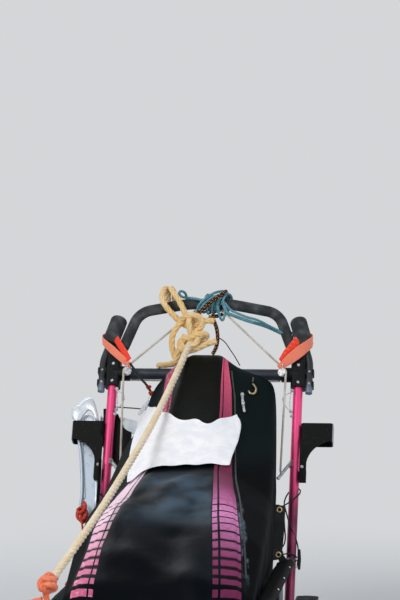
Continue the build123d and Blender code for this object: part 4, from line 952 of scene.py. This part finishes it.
# Line clips: steel bolts and bent wires on the stanchions that steer the lift lines, and the bolts
# of the hook holders, with a black webbing strap behind the snow hook's plate.
clip_bits = []
for side in (-1, 1):
    mirror = (side, 1, 1)
    clip_bits += [bolt((side * x, y, z), (0, -1, 0.2), 0.0042) for x, y, z in (
        (0.2475, 0.5300, 0.7060), (0.2460, 0.5010, 0.6500), (0.2490, 0.4960, 0.6380),
        (0.2840, 0.4060, 0.5060), (0.2840, 0.4880, 0.6060))]
    clip_bits += [carry(bend(np.array(run) * mirror), circle(0.0013, 8)) for run in (
        [(248, 522, 702), (236, 520, 698), (226, 512, 690), (222, 508, 684), (226, 504, 674),
         (234, 500, 660), (246, 496, 652)],
        [(246, 524, 700), (243, 516, 684), (243, 506, 664), (246, 500, 650)])]
clips = surface("line_clips", dull_steel, clip_bits)
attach(clips, "sled")
tie_strap = surface("holder_strap", hem_cloth, [strap(
    np.array([(-0.278, 0.404, 0.520), (-0.2775, 0.384, 0.478), (-0.2765, 0.352, 0.430),
              (-0.2760, 0.328, 0.385), (-0.2755, 0.318, 0.350)]),
    np.array([(0, -1, 0.4)] * 3), 0.0020, (0.009, 0.010, 0.010))])
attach(tie_strap, "sled")


# Lanyard: black cord, 7.5 mm thick, from the -X sheave's sling down past the crossbar, with two
# orange-red stopper knots and a steel snap whose tab is sewn to the bag.
def laid(path, diameter, lay, strands=3, phase=0.0):
    """Strands of a laid rope: each circles the path once in every lay, half its own thickness
    inside the rope's, and starts its share of a turn after the last."""
    path = evenly(path, diameter / 6)
    _, normal, binormal = frames(path)
    thick = diameter * (0.33 - 0.02 * strands)
    angle = travelled(path)[:, None] * 2 * math.pi / lay + phase
    grids = []
    for turn in np.arange(strands) * 2 * math.pi / strands:
        offset = normal * np.cos(angle + turn) + binormal * np.sin(angle + turn)
        grids.append(carry(path + offset * (diameter / 2 - thick), circle(thick, 9)))
    return grids


lanyard = surface("lanyard_cord", black_cord, laid(bend([
    (-212, 541, 778), (-205, 538, 770), (-193, 538, 752), (-178, 538, 732), (-164, 537, 718),
    (-152, 533, 700)]), 0.0075, 0.022))
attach(lanyard, "sled")


def stopper(at, size, thick):
    """Stopper knot: cord along a trefoil, the sums of one and two turns across and three in depth."""
    t = np.linspace(0, 2 * math.pi, 60)
    line = np.stack((np.sin(t) + 2 * np.sin(2 * t), np.sin(3 * t) * 1.1, np.cos(t) - 2 * np.cos(2 * t)), 1)
    return laid(np.asarray(at) + line * size / 3, thick, 0.016)


red_rope = rope_finish("red_rope", srgb(240, 84, 58), srgb(176, 32, 28), fibre=0.0007)
stoppers = surface("lanyard_stoppers", red_rope, stopper((-0.1580, 0.536, 0.7105), 0.0062, 0.0052)
                   + stopper((-0.1490, 0.530, 0.6935), 0.0070, 0.0056))
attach(stoppers, "sled")
snap = surface("lanyard_snap", steel, [
    turned((-0.1505, 0.522, 0.6835), (-0.30, -0.40, -0.86), [
        (0, -0.005), (0.0040, -0.004), (0.0056, 0), (0.0042, 0.003), (0.0050, 0.006),
        (0.0046, 0.013), (0.0030, 0.016), (0.0042, 0.019), (0, 0.021)]),
    carry(bend([(-156, 514, 667), (-151, 511, 660), (-153, 508, 651), (-160, 506, 648), (-165, 508, 655),
                (-161, 512, 664)]), circle(0.0017, 8))])
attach(snap, "sled")
snap_tab = Finish("snap_tab", srgb(206, 212, 220), 0.7, sheen_weight=0.2)
snap_tab.feed("Base Color",
              snap_tab.blend(snap_tab.noise(0.004, 4.0).step(0.4, 0.7), srgb(224, 228, 234),
                             srgb(176, 184, 196)))
snap_tab.relief(snap_tab.noise(0.0008, 2.0), 0.0002)
tab = surface("snap_tab", snap_tab, [strap(
    np.array([(-0.1533, 0.5100, 0.6757), (-0.1611, 0.5040, 0.6655), (-0.1704, 0.4970, 0.6514),
              (-0.1803, 0.4900, 0.6370)]),
    np.array([(-0.2, -0.97, 0.1)] * 2), 0.0018, (0.009, 0.012, 0.012, 0.010))])
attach(tab, "sled")

# Snub rope: soft laid rope, 20 mm thick, that holds the sled while it is hitched up. It is tied to
# the handlebar, runs just over the bag and ends in a becket on the brush bow.
yellow_rope = rope_finish("yellow_rope", srgb(255, 231, 186), srgb(238, 192, 112))
snub_route = [
    (-0.046, 0.612, 0.834), (-0.052, 0.556, 0.813), (-0.063, 0.470, 0.773),
    (-0.083, 0.300, 0.704), (-0.104, 0.120, 0.638), (-0.131, -0.100, 0.571),
    (-0.162, -0.350, 0.497), (-0.197, -0.590, 0.429), (-0.231, -0.782, 0.370),
]
snub_path = spline(snub_route)
snub_finish = rope_finish("snub_rope_fibre", srgb(255, 243, 220), srgb(243, 216, 172))
snub_rope = surface("snub_rope_laid", snub_finish, laid(snub_path, 0.020, 0.088, 4))
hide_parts("snub_rope")
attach(snub_rope, "sled")


# Rope knots: the same rope, looped over the handlebar, hitched on itself twice in front of it and
# left with short tails. The becket is orange rope of the same kind, knotted round the brush bow.
def tied(runs, diameter, lay, strands=3):
    """Strands of a knot made of several runs, each one's lay a radian on from the last one's."""
    return [grid for number, run in enumerate(runs)
            for grid in laid(bend(run), diameter, lay, strands, phase=number)]


knot_runs = [
    # Bight hung over the bar, its two legs in front of it.
    [(-56, 618, 880), (-72, 624, 888), (-86, 630, 896), (-104, 633, 914), (-122, 634, 935),
     (-132, 636, 955), (-131, 648, 973), (-125, 670, 984), (-122, 694, 974), (-122, 706, 952),
     (-119, 710, 932), (-111, 711, 922), (-103, 710, 934), (-102, 706, 954), (-106, 690, 976),
     (-109, 664, 984), (-101, 644, 977), (-93, 634, 966), (-83, 630, 952), (-73, 628, 934), (-62, 620, 910),
     (-52, 614, 894)],
    # Upper hitch round the two legs, with a tail to the right.
    [(20, 611, 893), (2, 609, 897), (-16, 612, 890), (-38, 616, 880), (-60, 622, 878), (-74, 622, 888),
     (-71, 610, 900), (-57, 601, 909), (-38, 598, 913), (-19, 600, 906), (-10, 604, 889), (-18, 606, 873),
     (-36, 607, 865), (-52, 612, 874), (-54, 618, 890), (-38, 620, 900), (-24, 618, 892)],
    # Leg down between the hitches, in front.
    [(-49, 604, 904), (-51, 596, 892), (-49, 593, 876), (-45, 595, 862), (-42, 600, 848), (-44, 604, 834)],
    # Long slack loop on the left, down and back over the crossbar.
    [(-48, 614, 904), (-62, 614, 898), (-75, 612, 888), (-89, 611, 873), (-99, 610, 852), (-101, 609, 830),
     (-98, 608, 809), (-91, 607, 792), (-86, 604, 780), (-93, 599, 772), (-108, 592, 770), (-124, 584, 770),
     (-138, 577, 769)],
    # Lower hitch round the running rope, two turns and a tail.
    [(27, 610, 836), (6, 607, 832), (-11, 603, 824), (-30, 598, 815), (-52, 594, 808), (-71, 597, 812),
     (-80, 604, 826), (-71, 602, 843), (-51, 596, 849), (-30, 593, 855), (-10, 596, 860), (2, 606, 854),
     (-6, 616, 842), (-28, 620, 832), (-50, 618, 826), (-66, 612, 832), (-66, 606, 846)],
    [(-36, 602, 868), (-24, 597, 852), (-26, 593, 836), (-38, 590, 824), (-56, 590, 818), (-70, 598, 822),
     (-74, 606, 838), (-62, 612, 852)],
    # Slack end beside the running rope.
    [(-70, 604, 836), (-79, 602, 816), (-81, 602, 799), (-85, 602, 784), (-92, 598, 774), (-102, 592, 774)],
]
rope_knot = surface("rope_knots", yellow_rope, tied(knot_runs, 0.0178, 0.078, 4))
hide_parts("rope_knot")
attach(rope_knot, "sled")
orange_rope = rope_finish("orange_rope", srgb(255, 172, 132), srgb(248, 112, 74))
becket_runs = [
    # Ring round the bow's arm, up into the knot.
    [(-251, -806, 326), (-284, -806, 320), (-292, -806, 298), (-282, -806, 274), (-260, -806, 268),
     (-238, -806, 280), (-234, -806, 302), (-240, -806, 326), (-243, -806, 344)],
    # Knot: three turns one over the other.
    [(-243, -800, 344), (-224, -798, 350), (-217, -812, 360), (-232, -824, 366), (-252, -816, 362),
     (-256, -798, 354), (-242, -786, 352), (-224, -792, 364), (-222, -810, 376), (-238, -820, 380),
     (-254, -808, 374), (-252, -792, 366), (-234, -786, 372), (-226, -800, 384), (-238, -812, 388)],
    [(-236, -806, 352), (-246, -826, 350), (-256, -822, 366), (-246, -806, 380), (-230, -790, 382),
     (-218, -796, 372)],
]
becket = surface("orange_becket", orange_rope, tied(becket_runs, 0.0160, 0.060, 4))
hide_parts("rope_becket")
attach(becket, "sled")

# Hook line: thin red rope, tied to the snow hook in a bulky knot, that hangs down beside the
# stanchion and along the rail to a hitch of three turns on it.
line_route = [
    (-0.317, 0.318, 0.352), (-0.305, 0.268, 0.306), (-0.293, 0.200, 0.276), (-0.287, 0.120, 0.262),
    (-0.284, 0.030, 0.255), (-0.283, -0.060, 0.252), (-0.281, -0.150, 0.255), (-0.2785, -0.2377, 0.262),
]
line_path = spline(line_route)
hook_line = surface("hook_line_laid", red_rope, laid(line_path, 0.006, 0.020))
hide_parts("hook_line")
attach(hook_line, "sled")
hook_knot_runs = [
    [(-318, 330, 352), (-306, 334, 362), (-308, 340, 378), (-322, 336, 384), (-332, 330, 372),
     (-324, 322, 360), (-310, 320, 366), (-304, 328, 380), (-314, 340, 394), (-328, 342, 392),
     (-334, 332, 384), (-322, 322, 380), (-310, 326, 390), (-308, 338, 402), (-318, 350, 408)],
    [(-316, 322, 356), (-330, 326, 362), (-336, 340, 376), (-326, 346, 390), (-312, 340, 386),
     (-306, 328, 372)],
    [(-318, 336, 400), (-312, 340, 388), (-322, 332, 372), (-318, 322, 358), (-317, 318, 352)],
]
hook_knot = surface("hook_knot_turns", red_rope, tied(hook_knot_runs, 0.0092, 0.026))
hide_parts("hook_knot")
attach(hook_knot, "sled")
turns, hitch_radius = np.linspace(0, 3 * 2 * math.pi, 90), 0.0148
hitch_path = np.stack((-half_track + hitch_radius * np.cos(turns), -0.2580 + turns / turns[-1] * 0.0185,
                       0.2690 + hitch_radius * np.sin(turns)), 1)
line_hitch = surface("line_hitch_turns", red_rope, laid(hitch_path, 0.0062, 0.020))
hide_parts("line_hitch")
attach(line_hitch, "sled")

# Teal cord: braid wound round the middle of the handlebar in two uneven layers, with slack bights
# along the bar and a steel toggle. A dark rope flecked with orange is laid through it and goes
# down to the bag's mouth.
teal_cord = rope_finish("teal_cord", srgb(126, 190, 204), srgb(34, 98, 112), fibre=0.0009)


def wound(along_bar, radius, angle):
    """Turns round the handlebar: at each place along it, the radius times the angle's cosine is
    added to its distance back, and times the angle's sine to its height."""
    return np.stack((along_bar, 0.675 + radius * np.cos(angle), 0.938 + radius * np.sin(angle)), 1)


turns = np.linspace(0, 9 * 2 * math.pi, 460)
wobble = 0.0012 * np.sin(turns * 0.37)
inner_turns = wound(-0.010 + turns / turns[-1] * 0.042 + 0.0016 * np.sin(turns * 1.7), 0.0190 + wobble, turns)
outer_turns = wound(-0.016 + turns / turns[-1] * 0.060 + 0.0105 * np.sin(turns * 0.5 + 0.6),
                    0.0248 + wobble * 2, turns * 0.5)
bights = [
    [(-28, 660, 914), (-32, 647, 918), (-29, 640, 932), (-20, 640, 946), (-6, 644, 958), (12, 650, 970),
     (34, 660, 977), (50, 680, 974), (56, 700, 956), (52, 706, 934), (44, 694, 914)],
    [(-24, 656, 908), (-26, 644, 914), (-22, 635, 926), (-12, 636, 940), (2, 640, 952), (20, 646, 964),
     (42, 657, 969), (58, 678, 968), (64, 700, 952), (58, 706, 930), (50, 692, 912)],
    [(-16, 650, 950), (-40, 649, 957), (-62, 650, 957), (-78, 653, 960), (-86, 660, 970), (-82, 674, 976),
     (-70, 690, 970), (-66, 702, 948), (-70, 700, 926)],
    [(40, 652, 950), (47, 645, 930), (54, 645, 914), (70, 650, 908), (92, 653, 899), (119, 656, 890),
     (150, 656, 882), (178, 652, 872), (204, 646, 860), (224, 638, 852), (238, 632, 850), (246, 642, 854),
     (236, 656, 860), (220, 652, 856)],
    [(46, 656, 944), (60, 646, 924), (84, 646, 914), (112, 650, 902), (140, 652, 896), (170, 650, 880),
     (200, 642, 866), (220, 632, 858)],
    [(24, 652, 946), (28, 646, 926), (32, 646, 906), (40, 648, 890), (46, 654, 904), (50, 660, 924)],
]
wrap = surface("cord_windings", teal_cord, laid(inner_turns, 0.0062, 0.016) + laid(outer_turns, 0.0072, 0.018)
               + [grid for run in bights
                  for grid in laid(bend(run), 0.0078 if len(run) < 14 else 0.0105, 0.024)])
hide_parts("cord_wrap")
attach(wrap, "sled")
flecked = Finish("flecked_rope", srgb(24, 26, 30), 0.85, specular_ior_level=0.25)
along, across = flecked.cloth()
flecks = (along * 1.0 + across * 0.7).wave(0.0088).step(0.70, 0.82)
flecks = flecks * (across - along * 0.5).wave(0.0074).step(0.45, 0.6)
flecked.feed("Base Color", flecked.blend(flecks, srgb(26, 30, 36), srgb(224, 138, 62)))
flecked.relief((along + across).wave(0.0022) * 0.6 + flecked.noise(0.0012) * 0.4, 0.0006)
flecked_rope = surface("flecked_cord", flecked, [grid for run in (
    [(-34, 668, 912), (-34, 646, 908), (-24, 634, 916), (-9, 632, 930), (10, 634, 948), (30, 642, 962),
     (44, 660, 972), (48, 684, 976), (44, 704, 962), (38, 710, 938), (34, 700, 916)],
    [(36, 690, 908), (22, 668, 902), (10, 646, 908), (14, 634, 900), (22, 632, 884), (27, 631, 866),
     (29, 630, 846), (28, 624, 828), (24, 610, 812), (18, 598, 802)],
) for grid in laid(bend(run), 0.0115, 0.030, 4)])
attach(flecked_rope, "sled")
toggle = surface("cord_toggle", steel, [turned((0.006, 0.634, 0.905), (0.3, -0.2, 1), [
    (0, -0.007), (0.0036, -0.006), (0.0044, -0.003), (0.0036, 0.002),
    (0.0044, 0.005), (0.0030, 0.008), (0, 0.009)])])
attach(toggle, "sled")

# Floor and air: a plain pale floor that fades into air of the same colour, under soft, even light
# from all sides. Camera, glossy and transmitted rays see the pale air.
floor_mesh = bpy.data.meshes.new("floor")
floor_mesh.from_pydata([(-30, -14, 0), (30, -14, 0), (30, 40, 0), (-30, 40, 0)], [], [(0, 1, 2, 3)])
floor = bpy.data.objects.new("floor", floor_mesh)
bpy.context.scene.collection.objects.link(floor)
air_color = (0.66, 0.675, 0.69, 1)
pale = Finish("floor_pale", (0.62, 0.63, 0.64, 1), 0.9, specular_ior_level=0.1)
camera_ray = pale.node("ShaderNodeLightPath", {}, {}, "Is Camera Ray")
rays = camera_ray.link.node.outputs
seen = (camera_ray + Socket(pale, rays["Is Glossy Ray"])
        + Socket(pale, rays["Is Transmission Ray"])).math("MINIMUM", 1.0)
floor_x, floor_y = pale.coordinate("X"), pale.coordinate("Y")
far_off = (floor_x * floor_x + floor_y * floor_y).math("SQRT").step(1.3, 3.0)
air = pale.node("ShaderNodeEmission", {}, {"Color": air_color}, "Emission")
lit = Socket(pale, pale.surface.outputs[0])
floor_look = pale.node("ShaderNodeMixShader", {}, {0: seen * far_off, 1: lit, 2: air})
pale.tree.links.new(floor_look.link, pale.tree.nodes["Material Output"].inputs["Surface"])
floor_mesh.materials.append(pale.material)

world = bpy.data.worlds.new("air")
bpy.context.scene.world = world
world.use_nodes = True
sky = world.node_tree
ambient = sky.nodes["Background"]
ambient.inputs["Color"].default_value = (0.80, 0.83, 0.87, 1)
ambient.inputs["Strength"].default_value = 0.55
backdrop = sky.nodes.new("ShaderNodeBackground")
backdrop.inputs["Color"].default_value = air_color
rays = sky.nodes.new("ShaderNodeLightPath").outputs
either, either_more = sky.nodes.new("ShaderNodeMath"), sky.nodes.new("ShaderNodeMath")
either.operation = either_more.operation = "MAXIMUM"
mixed = sky.nodes.new("ShaderNodeMixShader")
for start, end in ((rays["Is Camera Ray"], either.inputs[0]), (rays["Is Glossy Ray"], either.inputs[1]),
                   (either.outputs[0], either_more.inputs[0]),
                   (rays["Is Transmission Ray"], either_more.inputs[1]),
                   (either_more.outputs[0], mixed.inputs[0]), (ambient.outputs[0], mixed.inputs[1]),
                   (backdrop.outputs[0], mixed.inputs[2]),
                   (mixed.outputs[0], sky.nodes["World Output"].inputs["Surface"])):
    sky.links.new(start, end)


# Lamps: three square softboxes, a warm key at front left, a cooler fill at front right and a rim
# light behind.
def softbox(name, at, aimed_at, size, watts, color):
    """Square area lamp that faces a point."""
    lamp = bpy.data.lights.new(name, "AREA")
    lamp.size, lamp.energy, lamp.color = size, watts, color
    made = bpy.data.objects.new(name, lamp)
    made.location = at
    made.rotation_euler = (Vector(at) - Vector(aimed_at)).to_track_quat("Z", "Y").to_euler()
    bpy.context.scene.collection.objects.link(made)


softbox("key", (-2.6, -3.4, 3.4), (0, 0.2, 0.5), 2.2, 130, (1.0, 0.98, 0.95))
softbox("fill", (3.4, -2.6, 2.0), (0, 0.2, 0.5), 2.6, 60, (0.95, 0.97, 1.0))
softbox("rim", (-1.8, 3.9, 3.2), (0, 0.3, 0.6), 1.8, 70, (0.90, 0.95, 1.0))

# The view: a long lens a little to the sled's +X side and just above its handlebar, as from the
# trail ahead of it. The picture is 400 by 600.
aim = np.array([0.00165, 0.400, 0.9666])
turn, lift, distance, focal_pixels = math.radians(5.86), math.radians(3.5), 7.967, 2883.0
back = np.array([math.sin(turn) * math.cos(lift), -math.cos(turn) * math.cos(lift), math.sin(lift)])
camera = bpy.data.objects.new("camera", bpy.data.cameras.new("camera"))
bpy.context.scene.collection.objects.link(camera)
camera.location = aim + back * distance
camera.rotation_euler = Vector(back).to_track_quat("Z", "Y").to_euler()
camera.data.lens = focal_pixels * 36 / 600
camera.data.clip_end = 60
bpy.context.scene.camera = camera
bpy.context.scene.view_settings.view_transform = "Standard"
